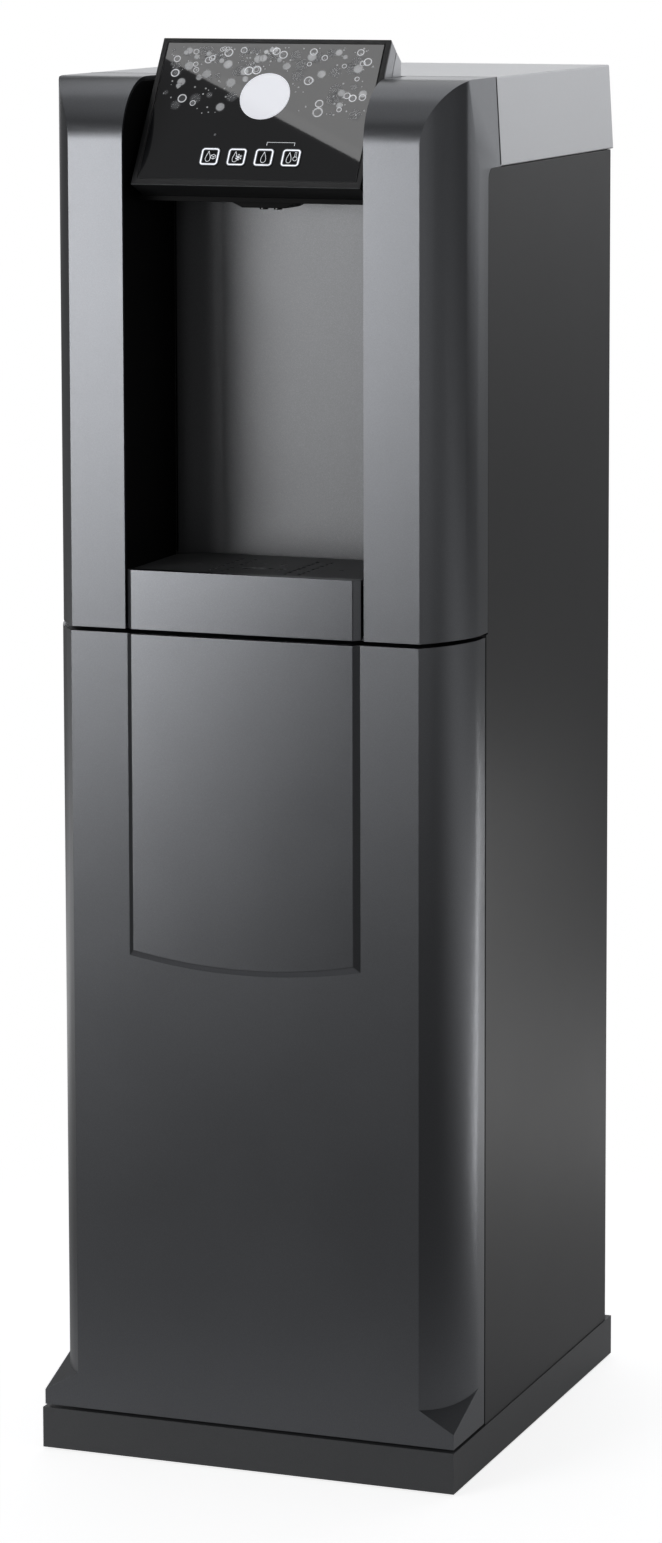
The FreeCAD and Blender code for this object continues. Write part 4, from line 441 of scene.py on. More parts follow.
# %% Paint for the bowed panels
BOW_PER_METRE = 0.42
bowed = paint.copy()
bowed.name = "anthracite_bowed"
tree = bowed.node_tree
sides = tree.nodes.new("ShaderNodeSeparateXYZ")
wire(tree, tree.nodes["Texture Coordinate"].outputs["Object"], sides.inputs[0])
lean = tree.nodes.new("ShaderNodeCombineXYZ")
wire(tree, sums(tree, "MULTIPLY", sides.outputs["X"], BOW_PER_METRE), lean.inputs["X"])
turned = tree.nodes.new("ShaderNodeVectorTransform")
turned.vector_type = "VECTOR"
turned.convert_from, turned.convert_to = "OBJECT", "WORLD"
leaning, unit = tree.nodes.new("ShaderNodeVectorMath"), tree.nodes.new("ShaderNodeVectorMath")
unit.operation = "NORMALIZE"
wire(tree, lean.outputs[0], turned.inputs[0], turned.outputs[0], leaning.inputs[0],
     tree.nodes.new("ShaderNodeNewGeometry").outputs["Normal"], leaning.inputs[1],
     leaning.outputs[0], unit.inputs[0], unit.outputs[0], tree.nodes["Bump"].inputs["Normal"])
FINISHES["anthracite_bowed"] = bowed
print("bow at the panel's sides:", round(math.degrees(0.0975 * BOW_PER_METRE), 1), "degrees")

# %% [markdown]
# Plastics differ by their mould: a polished mould gives gloss black, an etched one a fine
# matt grain. Rubber is duller and a little dusty. Sheet steel that nobody sees is zinc
# plated, with long soft rolling lines.

# %% Plastics, rubber and metals
finish("gloss_black", (0.012, 0.012, 0.013), 0.10, scale=900, contrast=0.1, depth=0.000004,
       drift=0.06, Coat_Weight=0.3)
finish("black_plastic", (0.028, 0.028, 0.03), 0.42, scale=1900, contrast=0.4, depth=0.00008,
       drift=0.1)
finish("shadow_black", (0.007, 0.007, 0.0075), 0.6, scale=1900, contrast=0.3, depth=0.00005,
       drift=0.1, Specular_IOR_Level=0.15)
finish("alcove_black", (0.008, 0.008, 0.0085), 0.34, scale=900, contrast=0.1, depth=0.000004,
       drift=0.06, Specular_IOR_Level=0.2)
finish("grille_black", (0.18, 0.182, 0.187), 0.5, scale=1900, contrast=0.4, depth=0.00006,
       drift=0.12)
finish("plinth_plastic", (0.072, 0.074, 0.078), 0.42, scale=1500, contrast=0.35, depth=0.0001,
       drift=0.12)
finish("white_plastic", (0.74, 0.75, 0.76), 0.40, scale=1200, contrast=0.06, depth=0.00003,
       drift=0.05, Subsurface_Weight=0.04)
finish("rubber", (0.024, 0.024, 0.024), 0.75, scale=1400, contrast=0.5, depth=0.00012, drift=0.2)
finish("zinc_sheet", (0.55, 0.56, 0.57), 0.38, metallic=0.95, pattern=brushing, scale=300,
       contrast=0.03, depth=0.00002, drift=0.25, clouds=16)
finish("stainless", (0.62, 0.62, 0.63), 0.24, metallic=1.0, pattern=brushing, scale=900,
       contrast=0.02, depth=0.00001, drift=0.08)
finish("copper", (0.72, 0.38, 0.24), 0.30, metallic=1.0, scale=700, contrast=0.2, depth=0.00001,
       drift=0.35, clouds=30)
finish("black_enamel", (0.016, 0.016, 0.017), 0.30, scale=1100, contrast=0.2, depth=0.00005,
       drift=0.1, Coat_Weight=0.2)
finish("magnet", (0.10, 0.10, 0.105), 0.5, metallic=0.6, scale=1500, contrast=0.5, depth=0.00004,
       drift=0.15)
finish("pin_steel", (0.5, 0.5, 0.52), 0.28, metallic=1.0, pattern=brushing, scale=1500,
       contrast=0.3, depth=0.00001)
finish("clear_hose", (0.70, 0.73, 0.75), 0.22, scale=300, contrast=0.05, depth=0.00001, drift=0.08,
       Transmission_Weight=0.35)
finish("float_red", (0.52, 0.035, 0.02), 0.36, scale=1200, contrast=0.1, depth=0.00003)
finish("board_green", (0.03, 0.19, 0.07), 0.30, scale=260, contrast=0.9, depth=0.00002,
       Coat_Weight=0.2)
print("finishes:", len(FINISHES))

# %% [markdown]
# Expanded foam is beads pressed together: cells a few millimetres across with dents between
# them. A cell texture gives each bead its own edge, and the same texture pushes the dents in.

# %% Foam
foam = finish("foam", (0.86, 0.86, 0.83), 0.8, scale=600, contrast=0.05, drift=0.06)
tree = foam.node_tree
beads = tree.nodes.new("ShaderNodeTexVoronoi")
BEADS_PER_METRE = 260
beads.inputs["Scale"].default_value = BEADS_PER_METRE
wire(tree, tree.nodes["Texture Coordinate"].outputs["Object"], beads.inputs["Vector"])
dents = ramp(tree, beads.outputs["Distance"], ((0.0, 1.0), (0.55, 0.8), (1.0, 0.3)))
bumped(tree, dents, 0.0006, tree.nodes["Principled BSDF"], 0.8)
print("foam beads of about", round(1000 / BEADS_PER_METRE, 1), "mm")

# %% [markdown]
# The control glass is dark and polished: nearly black with a clear hard face. Fine dust and
# faint wiping marks break its reflection a little, so its roughness varies and is never zero.

# %% Control glass
finish("dark_glass", (0.018, 0.0185, 0.0205), 0.014, scale=500, contrast=0.1, depth=0.0000002,
       clouds=22, drift=0.008, IOR=1.52)
print("control glass:", FINISHES["dark_glass"].name)

# %% [markdown]
# The head is one moulding in two finishes: its slanted front is masked and sprayed dark,
# its sides are silver. A mask on the distance behind the slanted face tells them apart, so
# the border follows the edge exactly.

# %% Two-tone head
two_tone = finish("two_tone_head", (0.50, 0.505, 0.52), 0.36, scale=2600, contrast=0.3,
                  depth=0.00003, drift=0.05)
tree = two_tone.node_tree
shader = tree.nodes["Principled BSDF"]
place = tree.nodes["Texture Coordinate"].outputs["Object"]
reach = tree.nodes.new("ShaderNodeVectorMath")
reach.operation = "DOT_PRODUCT"
reach.inputs[1].default_value = panel_out
wire(tree, place, reach.inputs[0])
DARK_RIM, DARK_INNER, CHIN, HALF_INNER = 0.0022, 0.012, 1.0179, 0.0935
depth_in = sums(tree, "SUBTRACT", reach.outputs["Value"], PANEL_LOW.dot(panel_out) - DARK_RIM)
split = tree.nodes.new("ShaderNodeSeparateXYZ")
wire(tree, place, split.inputs[0])
chin = sums(tree, "LESS_THAN", split.outputs["Z"], CHIN)
front_mask = sums(tree, "MAXIMUM", sums(tree, "GREATER_THAN", depth_in, 0.0), chin)
inner = sums(tree, "LESS_THAN", sums(tree, "ABSOLUTE", split.outputs["X"], 0.0), HALF_INNER)
rebate = sums(tree, "MULTIPLY", inner, sums(tree, "GREATER_THAN", depth_in, -DARK_INNER))
front_mask = sums(tree, "MAXIMUM", front_mask, rebate)
both = tree.nodes.new("ShaderNodeMix")
both.data_type = "RGBA"
light_tone = shader.inputs["Base Color"].links[0].from_socket
wire(tree, front_mask, both.inputs["Factor"], light_tone, both.inputs[6], both.outputs[2],
     shader.inputs["Base Color"])
both.inputs[7].default_value = (0.026, 0.0265, 0.028, 1)
wire(tree, between(tree, front_mask, 0.8, 0.0), shader.inputs["Metallic"])
print("head: dark within", DARK_RIM / MM, "mm of the slanted face")

# %% [markdown]
# Each node gets the finish that its slot in the record names. A few slots share a paint,
# and the steel cabinet, the covers and the tray follow the photograph's own tones.

# %% Finishes on the nodes
BY_SLOT = {"head_grey": "silver_paint", "liner_grey": "liner_paint", "steel_panel": "powder_coat",
           "button_lit": "gloss_black"}
BY_NODE = {"control_housing": "two_tone_head", "rear_top_cover": "silver_paint",
           "nozzle_housing": "shadow_black", "alcove_side_left": "alcove_black",
           "alcove_side_right": "alcove_black", "cold_nozzle": "gloss_black",
           "hot_nozzle": "gloss_black", "drip_tray_grille": "grille_black",
           "drip_tray_bowl": "shadow_black", "machine_shelf": "zinc_sheet",
           "door_centre_panel": "anthracite_bowed", "drip_tray_front": "anthracite_bowed"}
for part in frame["record"]["subparts"]:
    node = nodes[part["node"]]
    wanted = BY_NODE.get(part["node"]) or BY_SLOT.get(part["material_slot"], part["material_slot"])
    node.data.materials.clear()
    node.data.materials.append(FINISHES[wanted])
    for polygon in node.data.polygons:
        polygon.material_index = 0

# %% [markdown]
# No moulded or folded edge is perfectly sharp: a radius under a millimetre catches a line
# of light. The nodes' meshes are loose triangles, so a Weld joins them, a planar Decimate
# clears the flat faces, and a Bevel rounds every edge that turns by more than thirty
# degrees. Sheet metal gets a smaller radius than plastic.

# %% Edges that catch light
EDGE_MM = {"door_shell": 0.9, "door_centre_panel": 0.6, "upper_front_cover": 0.9,
           "rear_top_cover": 1.2, "drip_tray_front": 0.6, "control_housing": 0.5,
           "head_rear_hood": 0.8, "left_side_panel": 0.4, "right_side_panel": 0.4,
           "plinth_base": 1.8, "alcove_side_left": 0.4, "alcove_side_right": 0.4,
           "nozzle_housing": 0.5, "control_glass": 0.25, "drip_tray_grille": 0.25,
           "drip_tray_bowl": 0.4, "mains_inlet": 0.3, "hot_switch_frame": 0.3,
           "hot_switch_rocker": 0.3, "drain_cap": 0.5, "compressor": 0.8, "water_pump": 0.8,
           "cold_tank_insulation": 1.2, "power_board_box": 1.0, "bottle_platform": 1.0,
           "bottle_probe": 0.5, "door_inner_panel": 0.6}


def soften(node, width):
    """Weld, clear and round a node's edges with modifiers; its own mesh stays as it is."""
    weld = node.modifiers.new("weld", "WELD")
    weld.merge_threshold = 0.00002
    clear = node.modifiers.new("clear_flats", "DECIMATE")
    clear.decimate_type = "DISSOLVE"
    clear.angle_limit = math.radians(0.6)
    rounding = node.modifiers.new("rounding", "BEVEL")
    rounding.limit_method = "ANGLE"
    rounding.angle_limit = math.radians(30)
    rounding.width = width * MM
    rounding.segments = 2
    rounding.use_clamp_overlap = True
    rounding.harden_normals = False
    for polygon in node.data.polygons:
        polygon.use_smooth = True
    split = node.modifiers.new("crisp", "EDGE_SPLIT")
    split.split_angle = math.radians(36)
    weigh = node.modifiers.new("even_flats", "WEIGHTED_NORMAL")
    weigh.mode = "FACE_AREA"
    weigh.weight = 100


for name, node in nodes.items():
    soften(node, EDGE_MM.get(name, 0.3))
print("softened", len(nodes), "nodes")

# %% [markdown]
# Behind the dark glass lies a screen print: soft out-of-focus dots and thin bright rings,
# thickest along the top. It is an invented pattern, laid by a seeded draw. Each mark is a
# small square sheet with its own UV square, and the material fades it from its middle, which
# gives soft marks that a mesh outline can't. The draw keeps clear of the round badge, which
# stays bare.

# %% Small square sheets on the glass
import random

GLASS_FACE = -0.2
panel_frame = Matrix(((1, 0, 0), panel_up, panel_out)).transposed().to_4x4()
panel_frame.translation = PANEL_LOW
ON_THE_GLASS = ("print", "button", "bare", "glass", "bracket", "indicator")


def finished(name, mesh, body, material):
    """A piece of a mesh, with its finish, riding on a body; the glass lamps light some names."""
    piece = bpy.data.objects.new(name, mesh)
    bpy.context.scene.collection.objects.link(piece)
    mesh.materials.clear()
    mesh.materials.append(material)
    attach(piece, body)
    if name.startswith(ON_THE_GLASS):
        lit_head.objects.link(piece)
    return piece


def from_bmesh(shape, name, smooth=False):
    mesh = bpy.data.meshes.new(name)
    shape.to_mesh(mesh)
    shape.free()
    for polygon in mesh.polygons:
        polygon.use_smooth = smooth
    return mesh


def pushed_out(shape, faces, move):
    """Extrudes faces along a vector and gives the moved vertices."""
    pushed = bmesh.ops.extrude_face_region(shape, geom=faces)
    moved = [item for item in pushed["geom"] if isinstance(item, bmesh.types.BMVert)]
    bmesh.ops.translate(shape, verts=moved, vec=move)
    return moved


def bevel_rim(shape, top, width, segments):
    """Bevels the edges that lie wholly in the moved vertices; the width is in metres."""
    rim = [edge for edge in shape.edges if all(vert in top for vert in edge.verts)]
    bmesh.ops.bevel(shape, geom=rim, offset=width, affect="EDGES", segments=segments, profile=0.5,
                    material=-1)


def sheets(name, marks, lift, cut=0.0):
    """Square sheets on the panel, one for each (x, s, half size), each with a whole UV square;
    cut takes their corners off."""
    shape = bmesh.new()
    layer = shape.loops.layers.uv.new("UVMap")
    for x, s, half in marks:
        spot = panel_frame @ Matrix.Translation((x * MM, s * MM, (GLASS_FACE + lift) * MM))
        made = bmesh.ops.create_grid(shape, x_segments=1, y_segments=1, size=half * MM, matrix=spot)
        if cut:
            bmesh.ops.bevel(shape, geom=made["verts"], offset=cut * MM, affect="VERTICES",
                            segments=1, profile=0.5, material=-1)
        for face in [item for item in shape.faces if not item.tag]:
            face.tag = True
            for loop in face.loops:
                flat = spot.inverted() @ loop.vert.co
                loop[layer].uv = (flat.x / (2 * half * MM) + 0.5, flat.y / (2 * half * MM) + 0.5)
    return from_bmesh(shape, name)


def radial_material(name, colour, alpha_stops, glow=0.0):
    """A mark that fades by the distance from the middle of its UV square; its glow is a painted
    emission.
    """
    material, tree, shader = new_surface(name)
    uv = tree.nodes.new("ShaderNodeUVMap")
    centre = tree.nodes.new("ShaderNodeVectorMath")
    centre.operation = "SUBTRACT"
    centre.inputs[1].default_value = (0.5, 0.5, 0)
    reach = tree.nodes.new("ShaderNodeVectorMath")
    reach.operation = "LENGTH"
    place = tree.nodes.new("ShaderNodeTexCoord").outputs["Object"]
    wire(tree, uv.outputs[0], centre.inputs[0], centre.outputs[0], reach.inputs[0])
    edge = ramp(tree, sums(tree, "MULTIPLY", reach.outputs["Value"], 2.0), alpha_stops, "LINEAR")
    cloudy = call_group(tree, soft_clouds, place, Clouds_per_metre=60, Amount=0.9)
    wire(tree, sums(tree, "MULTIPLY", edge, cloudy.outputs["Tone"]), shader.inputs["Alpha"])
    wire(tree, tinted(tree, colour, cloudy.outputs["Tone"]), shader.inputs["Base Color"])
    # The glow is painted light: the print shines by an emission, though it is no lamp.
    if glow:
        wire(tree, tinted(tree, colour, cloudy.outputs["Tone"]), shader.inputs["Emission Color"])
        shader.inputs["Emission Strength"].default_value = glow
    shader.inputs["Roughness"].default_value = 0.12
    return material


# %% Dots and rings
draw = random.Random(7)
BADGE = (0.6, 79.6, 20.5)


def scatter(count, sizes, reach):
    """Seeded marks, thicker towards the top and never over the badge."""
    marks = []
    while len(marks) < count:
        half = draw.uniform(*sizes)
        x = draw.uniform(-86 + half, 86 - half)
        s = 124 - half - reach * draw.random() ** 1.7
        if math.hypot(x - BADGE[0], s - BADGE[1]) > BADGE[2] + half + 1:
            marks.append((x, s, half))
    return marks


# The last number of each mark is its painted glow; the dots and rings themselves are print.
soft = radial_material("print_soft_dot", (0.60, 0.61, 0.63), ((0.0, 0.72), (0.7, 0.62), (1.0, 0.0)),
                       0.26)
faint = radial_material("print_faint_dot", (0.38, 0.39, 0.41),
                        ((0.0, 0.35), (0.6, 0.3), (1.0, 0.0)), 0.10)
thin = radial_material("print_ring", (0.80, 0.81, 0.84), ((0.6, 0.06), (0.82, 0.95), (0.98, 0.0)),
                       0.4)
PRINTS = (("soft_dots", 30, (2.2, 4.8), 52, 0.02, soft),
          ("faint_dots", 52, (1.5, 6.2), 58, 0.015, faint),
          ("rings", 36, (2.0, 4.6), 56, 0.03, thin), ("specks", 110, (0.45, 1.0), 62, 0.025, soft))
for kind, count, sizes, reach, lift, ink in PRINTS:
    finished(f"print_{kind}", sheets(f"print_{kind}", scatter(count, sizes, reach), lift),
             "chassis", ink)
print("print: soft dots, faint dots, rings and specks")

# %% [markdown]
# The badge on the glass is a plain pale disc with one thin raised ring, like an enamelled
# plate. It carries no sign. It is a circle filled, lifted a fraction of a millimetre, with
# its rim bevelled so that it catches a line of light. Its pale face also carries a painted
# glow, an emission that lights it without a lamp.

# %% Bare badge
# The emission on the pale enamel is a painted glow.
pale_disc_painted_glow = finish("pale_enamel_painted_glow", (0.80, 0.81, 0.86), 0.28, scale=900, contrast=0.04, depth=0.00001,
                   drift=0.04, Coat_Weight=0.3,
                   Emission_Strength=0.55, Emission_Color=(0.8, 0.81, 0.86, 1))
shape = bmesh.new()
spot = panel_frame @ Matrix.Translation((BADGE[0] * MM, BADGE[1] * MM, (GLASS_FACE + 0.01) * MM))
bmesh.ops.create_circle(shape, cap_ends=True, segments=96, radius=BADGE[2] * MM, matrix=spot)
top = pushed_out(shape, list(shape.faces), panel_out * 0.35 * MM)
bevel_rim(shape, top, 0.2 * MM, 2)
face = max(shape.faces,
           key=lambda item: item.calc_center_median().dot(panel_out) + item.calc_area())
bmesh.ops.inset_region(shape, faces=[face], thickness=1.6 * MM)
bmesh.ops.inset_region(shape, faces=[face], thickness=0.35 * MM, depth=-0.06 * MM)
bmesh.ops.recalc_face_normals(shape, faces=list(shape.faces))
finished("bare_badge", from_bmesh(shape, "bare_badge"), "chassis", pale_disc_painted_glow)
print("badge", 2 * BADGE[2], "mm across")

# %% [markdown]
# Each of the four buttons has a bright square rim and a small sign, a drop with a cube, a
# snowflake, nothing, or a thermometer. The rim's brightness is a painted highlight: an emission
# stands in for the light that its bevelled ring reflects. The rim and its haze are one sheet
# with cut corners whose material measures the distance to a rounded square. The signs are
# thin round strokes: a curve with a bevel, made into a mesh, and their print carries a
# painted glow.

# %% Glowing rims
BUTTON_X = {"far_left": -34.0, "inner_left": -11.6, "inner_right": 10.8, "far_right": 33.2}
BUTTON_S = 25.5
BUTTON_FACE = 0.5


def rim_painted_highlight():
    """Alpha and a painted highlight, an emission, by the distance to a rounded square's outline."""
    material, tree, shader = new_surface("rim_painted_highlight")
    uv = tree.nodes.new("ShaderNodeUVMap")
    axes = tree.nodes.new("ShaderNodeSeparateXYZ")
    wire(tree, uv.outputs[0], axes.inputs[0])
    sides = []
    for axis in ("X", "Y"):
        apart = sums(tree, "ABSOLUTE", sums(tree, "SUBTRACT", axes.outputs[axis], 0.5), 0.0)
        sides.append(sums(tree, "MAXIMUM", sums(tree, "SUBTRACT", apart, 0.29), 0.0))
    squares = [sums(tree, "POWER", side, 2.0) for side in sides]
    corner = sums(tree, "SQRT", sums(tree, "ADD", *squares), 0.0)
    gap = sums(tree, "ABSOLUTE", sums(tree, "SUBTRACT", corner, 0.1275), 0.0)
    light = ramp(tree, sums(tree, "MULTIPLY", gap, 6.0),
                 ((0.0, 1.0), (0.1, 0.9), (0.2, 0.2), (0.5, 0.0)), "LINEAR")
    place = tree.nodes.new("ShaderNodeTexCoord").outputs["Object"]
    cloudy = call_group(tree, soft_clouds, place, Clouds_per_metre=240, Amount=0.5)
    wire(tree, sums(tree, "MULTIPLY", light, cloudy.outputs["Tone"]), shader.inputs["Alpha"])
    # The emission is a painted highlight: the rim glows in place of the light its bevelled ring
    # reflects.
    wire(tree, tinted(tree, (0.9, 0.93, 1.0), cloudy.outputs["Tone"]),
         shader.inputs["Emission Color"])
    shader.inputs["Base Color"].default_value = (0.9, 0.92, 0.97, 1)
    shader.inputs["Emission Strength"].default_value = 1.1
    return material


rim_highlight_paint = rim_painted_highlight()
for place_name, x in BUTTON_X.items():
    rim_mesh = sheets(f"rim_{place_name}", [(x, BUTTON_S, 8.0)], BUTTON_FACE + 0.06, cut=2.0)
    finished(f"button_rim_{place_name}", rim_mesh, f"button_{place_name}_body", rim_highlight_paint)
print("rims on", len(BUTTON_X), "buttons")

# %% Signs in the buttons
# The signs are pale print with an emission: the glow is painted light, as the print is no lamp.
sign_print_painted_glow = finish("sign_print_painted_glow", (0.85, 0.87, 0.9), 0.4, scale=900, contrast=0.05, drift=0.03,
                    Emission_Strength=0.55, Emission_Color=(0.85, 0.88, 0.92, 1))


def drop(x, s, size):
    """The outline of a drop, as points round it."""
    points = []
    for step in range(25):
        angle = 2 * math.pi * step / 24
        pinch = math.sin(angle / 2) ** 1.6
        points.append((x + size * 0.62 * math.sin(angle) * pinch, s + size * math.cos(angle)))
    return points


def circle(x, s, radius, steps=16):
    return [(x + radius * math.cos(2 * math.pi * k / steps),
             s + radius * math.sin(2 * math.pi * k / steps)) for k in range(steps + 1)]


def star(x, s, size):
    """Three crossing lines with a small fork near each tip."""
    lines = []
    for turn in range(6):
        angle = math.pi * turn / 3 + math.pi / 6
        tip = (x + size * math.cos(angle), s + size * math.sin(angle))
        fork = (x + size * 0.6 * math.cos(angle), s + size * 0.6 * math.sin(angle))
        lines.append([(x, s), tip])
        for side in (-1, 1):
            lean = angle + side * math.pi / 4
            prong = size * 0.3
            lines.append([fork, (fork[0] + prong * math.cos(lean), fork[1] + prong * math.sin(lean))])
    return lines


def strokes(name, lines, thick, body, material):
    """Round strokes along lines of points in metres, as one mesh; thick is in millimetres."""
    curve = bpy.data.curves.new(name, "CURVE")
    curve.dimensions = "3D"
    curve.bevel_depth = thick / 2 * MM
    curve.bevel_resolution = 1
    curve.use_fill_caps = True
    for line in lines:
        spline = curve.splines.new("POLY")
        spline.points.add(len(line) - 1)
        for point, place in zip(spline.points, line):
            point.co = (*place, 1)
    drawn = bpy.data.objects.new(name, curve)
    mesh = bpy.data.meshes.new_from_object(drawn)
    bpy.data.objects.remove(drawn)
    return finished(name, mesh, body, material)


def on_glass(lines, lift):
    """Lines of (x, s) on the panel as points, lifted off the glass by so many millimetres."""
    return [[on_panel(x, s, GLASS_FACE + lift) for x, s in line] for line in lines]


thermometer = [[(36.2, 26.5), (36.2, 30.4), (37.4, 30.4), (37.4, 26.5)], circle(36.8, 24.6, 1.7)]
cube = [[(-32.9, 24.2), (-30.9, 23.2), (-28.9, 24.2), (-28.9, 26.4), (-30.9, 27.4), (-32.9, 26.4),
         (-32.9, 24.2)],
        [(-32.9, 26.4), (-30.9, 25.4), (-28.9, 26.4)], [(-30.9, 25.4), (-30.9, 23.2)]]
SIGNS = {"far_left": [drop(-35.2, 25.6, 4.6)] + cube,
         "inner_left": [drop(-12.8, 25.6, 4.6)] + star(-9.9, 25.2, 2.8),
         "inner_right": [drop(10.8, 25.6, 4.8)], "far_right": [drop(31.8, 25.6, 4.6)] + thermometer}
for place_name, lines in SIGNS.items():
    strokes(f"button_sign_{place_name}", on_glass(lines, BUTTON_FACE + 0.2), 0.42,
            f"button_{place_name}_body", sign_print_painted_glow)
bracket = [[(11.0, 36.2), (11.0, 39.0), (33.8, 39.0), (33.8, 36.2)]]
strokes("bracket_line", on_glass(bracket, 0.1), 0.45, "chassis", sign_print_painted_glow)
print("signs and bracket drawn")

# %% Indicator lamp
indicator = finish("indicator_lens", (0.30, 0.31, 0.33), 0.2, scale=900, contrast=0.05, drift=0.03)
shape = bmesh.new()
spot = panel_frame @ Matrix.Translation((-33.8 * MM, 45.1 * MM, (GLASS_FACE - 0.3) * MM))
bmesh.ops.create_uvsphere(shape, u_segments=24, v_segments=10, radius=1.15 * MM,
                          matrix=spot @ Matrix.Diagonal((1, 1, 0.55, 1)))
finished("indicator_lens", from_bmesh(shape, "indicator_lens", True), "chassis", indicator)
print("indicator lens 2.3 mm across")

# %% [markdown]
# Where two mouldings meet, the joint is a fine dark groove, and a sharp outer edge shows as
# a fine bright line. The lid meets the front cover in such a groove, over the top and down
# both sides. Along the head frame's lower edge lies a painted highlight, a light metallic
# strip for the line of light its edge catches. A grey line goes round the glass, and the
# alcove's left wall ends in a painted highlight too: a dark grey strip, a shade lighter than
# the black wall, where its edge catches light.

# %% Grooves and lips
COVER_FRONT = -0.1975
LID_SEAM_Y = COVER_FRONT + 0.106
SEAM_TOP, SEAM_FOOT = 1.1001, 1.0325
SEAM_HALF_TOP, SEAM_HALF_FOOT = 0.1701, 0.1741


def ribbon(name, points, width, sideways, material, body="chassis"):
    """A thin strip along points, so wide along the given direction."""
    shape = bmesh.new()
    rows = []
    for point in points:
        rows.append([shape.verts.new(Vector(point) + Vector(sideways) * side * width / 2 * MM)
                     for side in (-1, 1)])
    for before, after in zip(rows, rows[1:]):
        shape.faces.new((before[0], before[1], after[1], after[0]))
    bmesh.ops.solidify(shape, geom=list(shape.faces), thickness=0.08 * MM)
    bmesh.ops.recalc_face_normals(shape, faces=list(shape.faces))
    return finished(name, from_bmesh(shape, name), body, material)


groove = finish("groove_shadow", (0.012, 0.012, 0.013), 0.7, scale=1500, contrast=0.2, drift=0.1)
lip_painted_highlight = finish("lip_painted_highlight", (0.42, 0.43, 0.44), 0.3, metallic=0.6, scale=1500, contrast=0.2,
                   drift=0.1)
seam = [(-SEAM_HALF_FOOT, LID_SEAM_Y, SEAM_FOOT), (-SEAM_HALF_TOP, LID_SEAM_Y, SEAM_TOP),
        (SEAM_HALF_TOP, LID_SEAM_Y, SEAM_TOP), (SEAM_HALF_FOOT, LID_SEAM_Y, SEAM_FOOT)]
ribbon("lid_seam", seam, 1.5, (0, 1, 0), groove)
# This light metallic strip is a painted highlight: the line of light that the head frame's lower edge
# catches.
lip = [tuple(on_panel(x, 0.1, 0.03)) for x in (-94.6, 94.6)]
ribbon("head_lip", lip, 0.7, tuple(panel_up), lip_painted_highlight)
border_line = finish("border_line", (0.085, 0.087, 0.09), 0.35, scale=1500, contrast=0.2, drift=0.1)
corners = [(-90.1, 5.7), (90.1, 5.7), (90.1, 127.0), (-90.1, 127.0)]
for side, (start, end) in enumerate(zip(corners, corners[1:] + corners[:1])):
    ends = [tuple(on_panel(*corner, 0.0)) for corner in (start, end)]
    ribbon(f"glass_border_{side}", ends, 0.5, tuple(panel_up) if side % 2 == 0 else (1, 0, 0),
           border_line)
# This strip is a painted highlight: a shade lighter than the black wall, where the wall's edge
# catches light.
wall_edge = [(-0.0984, COVER_FRONT + 0.1049, z) for z in (0.7185, 1.0035)]
ribbon("side_wall_edge", wall_edge, 1.2, (1, 0, 0), FINISHES["black_plastic"])
print("seam over the lid, lip and border round the glass, edge of the side wall")

# %% [markdown]
# The back is plain sheet steel. The air slots are lanced louvres: the sheet is slit and the
# strip above each slit is pushed out into a hood. Pan-head screws with a hollow drive hold
# the panel and the inlet; each one is a low dome of few faces.

# %% Louvre hoods and screws
BACK_FACE = 0.1794
BACKWARD = (0, 1, 0)
HOODS, HOOD_PITCH, LOWEST_HOOD = 8, 0.014, 0.7085
SKIN = 0.0008


def louvre_hood(z_top, half_wide, height, out):
    """A curved hood with closed ends, over one slit."""
    angles = [math.pi / 2 * k / 5 for k in range(6)]
    outer = [(BACK_FACE + out * math.sin(a), z_top - height * (1 - math.cos(a))) for a in angles]
    inner = [(y - SKIN * (k > 0), z - SKIN * (k < 5)) for k, (y, z) in enumerate(outer)]
    outline = outer + inner[:0:-1] + [(BACK_FACE, z_top - SKIN)]
    shape = bmesh.new()
    base = shape.faces.new([shape.verts.new((-half_wide, y, z)) for y, z in outline])
    pushed_out(shape, [base], (2 * half_wide, 0, 0))
    bmesh.ops.recalc_face_normals(shape, faces=list(shape.faces))
    return shape


def merged(shapes):
    """Several bmeshes as one."""
    whole = bmesh.new()
    for shape in shapes:
        mesh = bpy.data.meshes.new("part")
        shape.to_mesh(mesh)
        shape.free()
        whole.from_mesh(mesh)
        bpy.data.meshes.remove(mesh)
    return whole


hoods = [louvre_hood(LOWEST_HOOD + HOOD_PITCH * k, 0.061, 0.006, 0.0045) for k in range(HOODS)]
finished("louvre_hoods", from_bmesh(merged(hoods), "louvre_hoods"), "chassis",
         FINISHES["zinc_sheet"])


def screw_head(place, outward, radius=3.4):
    """A low dome with a hollow drive, standing on a face."""
    shape = bmesh.new()
    turn = Vector(outward).to_track_quat("Z", "Y").to_matrix().to_4x4()
    spot = Matrix.Translation(place) @ turn
    bmesh.ops.create_cone(shape, cap_ends=True, segments=12, radius1=radius * MM,
                          radius2=radius * 0.72 * MM, depth=1.5 * MM,
                          matrix=spot @ Matrix.Translation((0, 0, 0.65 * MM)))
    cap = max(shape.faces, key=lambda item: item.calc_center_median().dot(Vector(outward)))
    bmesh.ops.inset_region(shape, faces=[cap], thickness=radius * 0.3 * MM)
    bmesh.ops.inset_region(shape, faces=[cap], thickness=0.05 * MM, depth=-0.8 * MM)
    return shape


def screws(name, places, outward, body="chassis", radius=3.4):
    finished(name, from_bmesh(merged([screw_head(p, outward, radius) for p in places]), name), body,
             FINISHES["pin_steel"])


screw_rows = (0.59, 0.78, 1.015)
screws("back_panel_screws", [(x, BACK_FACE, z) for x in (-0.142, 0.142) for z in screw_rows],
       BACKWARD)
screws("inlet_screws", [(x, BACK_FACE + 0.0015, 0.9) for x in (0.0815, 0.1185)], BACKWARD,
       radius=1.2)
print(HOODS, "hoods and the screws of the back")

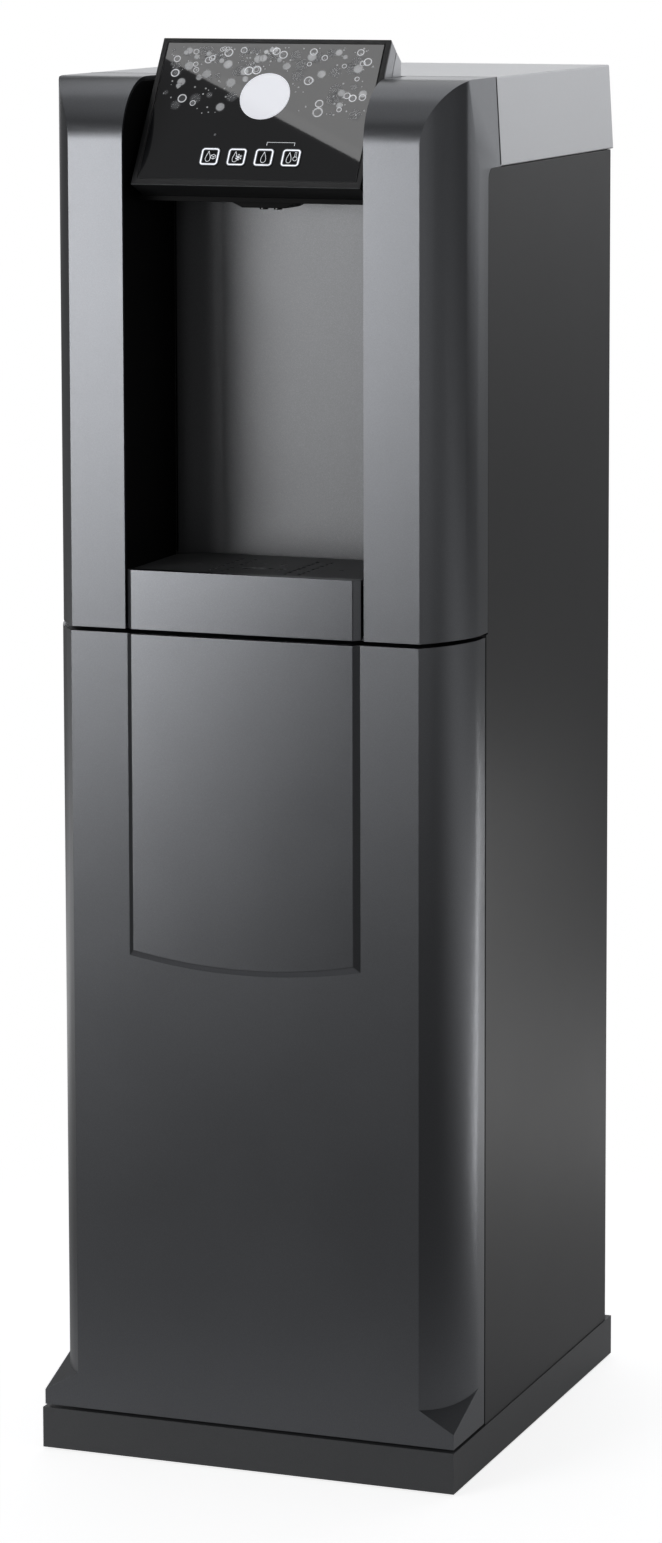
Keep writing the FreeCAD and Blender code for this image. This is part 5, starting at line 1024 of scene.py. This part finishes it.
# %% [markdown]
# Small flat things finish the sides that the camera doesn't see. A blank rating plate
# of brushed metal sits on the back. Inside the door is a pale loading label with a drawn
# bottle and an arrow. Each plate is a rounded outline, extruded, with its upper edge
# bevelled.

# %% Plates and label
def rounded(wide, high, corner, steps=4):
    """A rectangle with round corners, as points round its middle."""
    points = []
    for turn, (sx, sy) in enumerate(((1, 1), (-1, 1), (-1, -1), (1, -1))):
        for k in range(steps + 1):
            angle = math.pi / 2 * (turn + k / steps)
            points.append((sx * (wide / 2 - corner) + corner * math.cos(angle),
                           sy * (high / 2 - corner) + corner * math.sin(angle)))
    return points


def plate(name, centre, outward, wide, high, thick, corner, material, body="chassis"):
    """A thin rounded plate on an upright face; outward is (0, 1, 0) or (0, -1, 0)."""
    out = Vector(outward)
    across = Vector((0, 0, 1)).cross(out)
    shape = bmesh.new()
    outline = [Vector(centre) + across * x * MM + Vector((0, 0, y * MM))
               for x, y in rounded(wide, high, corner)]
    base = shape.faces.new([shape.verts.new(point) for point in outline])
    top = pushed_out(shape, [base], out * thick * MM)
    bevel_rim(shape, top, thick * 0.4 * MM, 1)
    bmesh.ops.recalc_face_normals(shape, faces=list(shape.faces))
    return finished(name, from_bmesh(shape, name), body, material)


label_paper = finish("label_paper", (0.62, 0.63, 0.64), 0.55, scale=900, contrast=0.08,
                     depth=0.00001, drift=0.06)
label_ink = finish("label_ink", (0.05, 0.07, 0.09), 0.5, scale=900, contrast=0.1, depth=0.00001,
                   drift=0.08)
plate("rating_plate", (-0.085, BACK_FACE, 0.955), BACKWARD, 70, 38, 0.5, 3, FINISHES["stainless"])

PAN_BACK = COVER_FRONT + 0.030
plate("loading_label", (0.03, PAN_BACK, 0.47), BACKWARD, 74, 118, 0.2, 4, label_paper, "door")

bottle = [(-12, -34), (12, -34), (14, -30), (14, 14), (10, 20), (4, 23), (4, 30), (-4, 30),
          (-4, 23), (-10, 20), (-14, 14), (-14, -30), (-12, -34)]
arrow = [[(-24, -44), (18, -44)], [(10, -40), (18, -44), (10, -48)]]
drawing = [bottle, [(-14, 2), (14, 2)], [(-14, -18), (14, -18)]] + arrow
lines = [[(0.03 + x * MM, PAN_BACK + 0.0002, 0.475 + z * MM) for x, z in line] for line in drawing]
strokes("loading_drawing", lines, 0.9, "door", label_ink)
screws("door_pan_screws", [(x, PAN_BACK, z) for x in (-0.118, 0.118) for z in (0.07, 0.35, 0.63)],
       BACKWARD, "door", 3.2)
print("plate, label and six screws on the door")
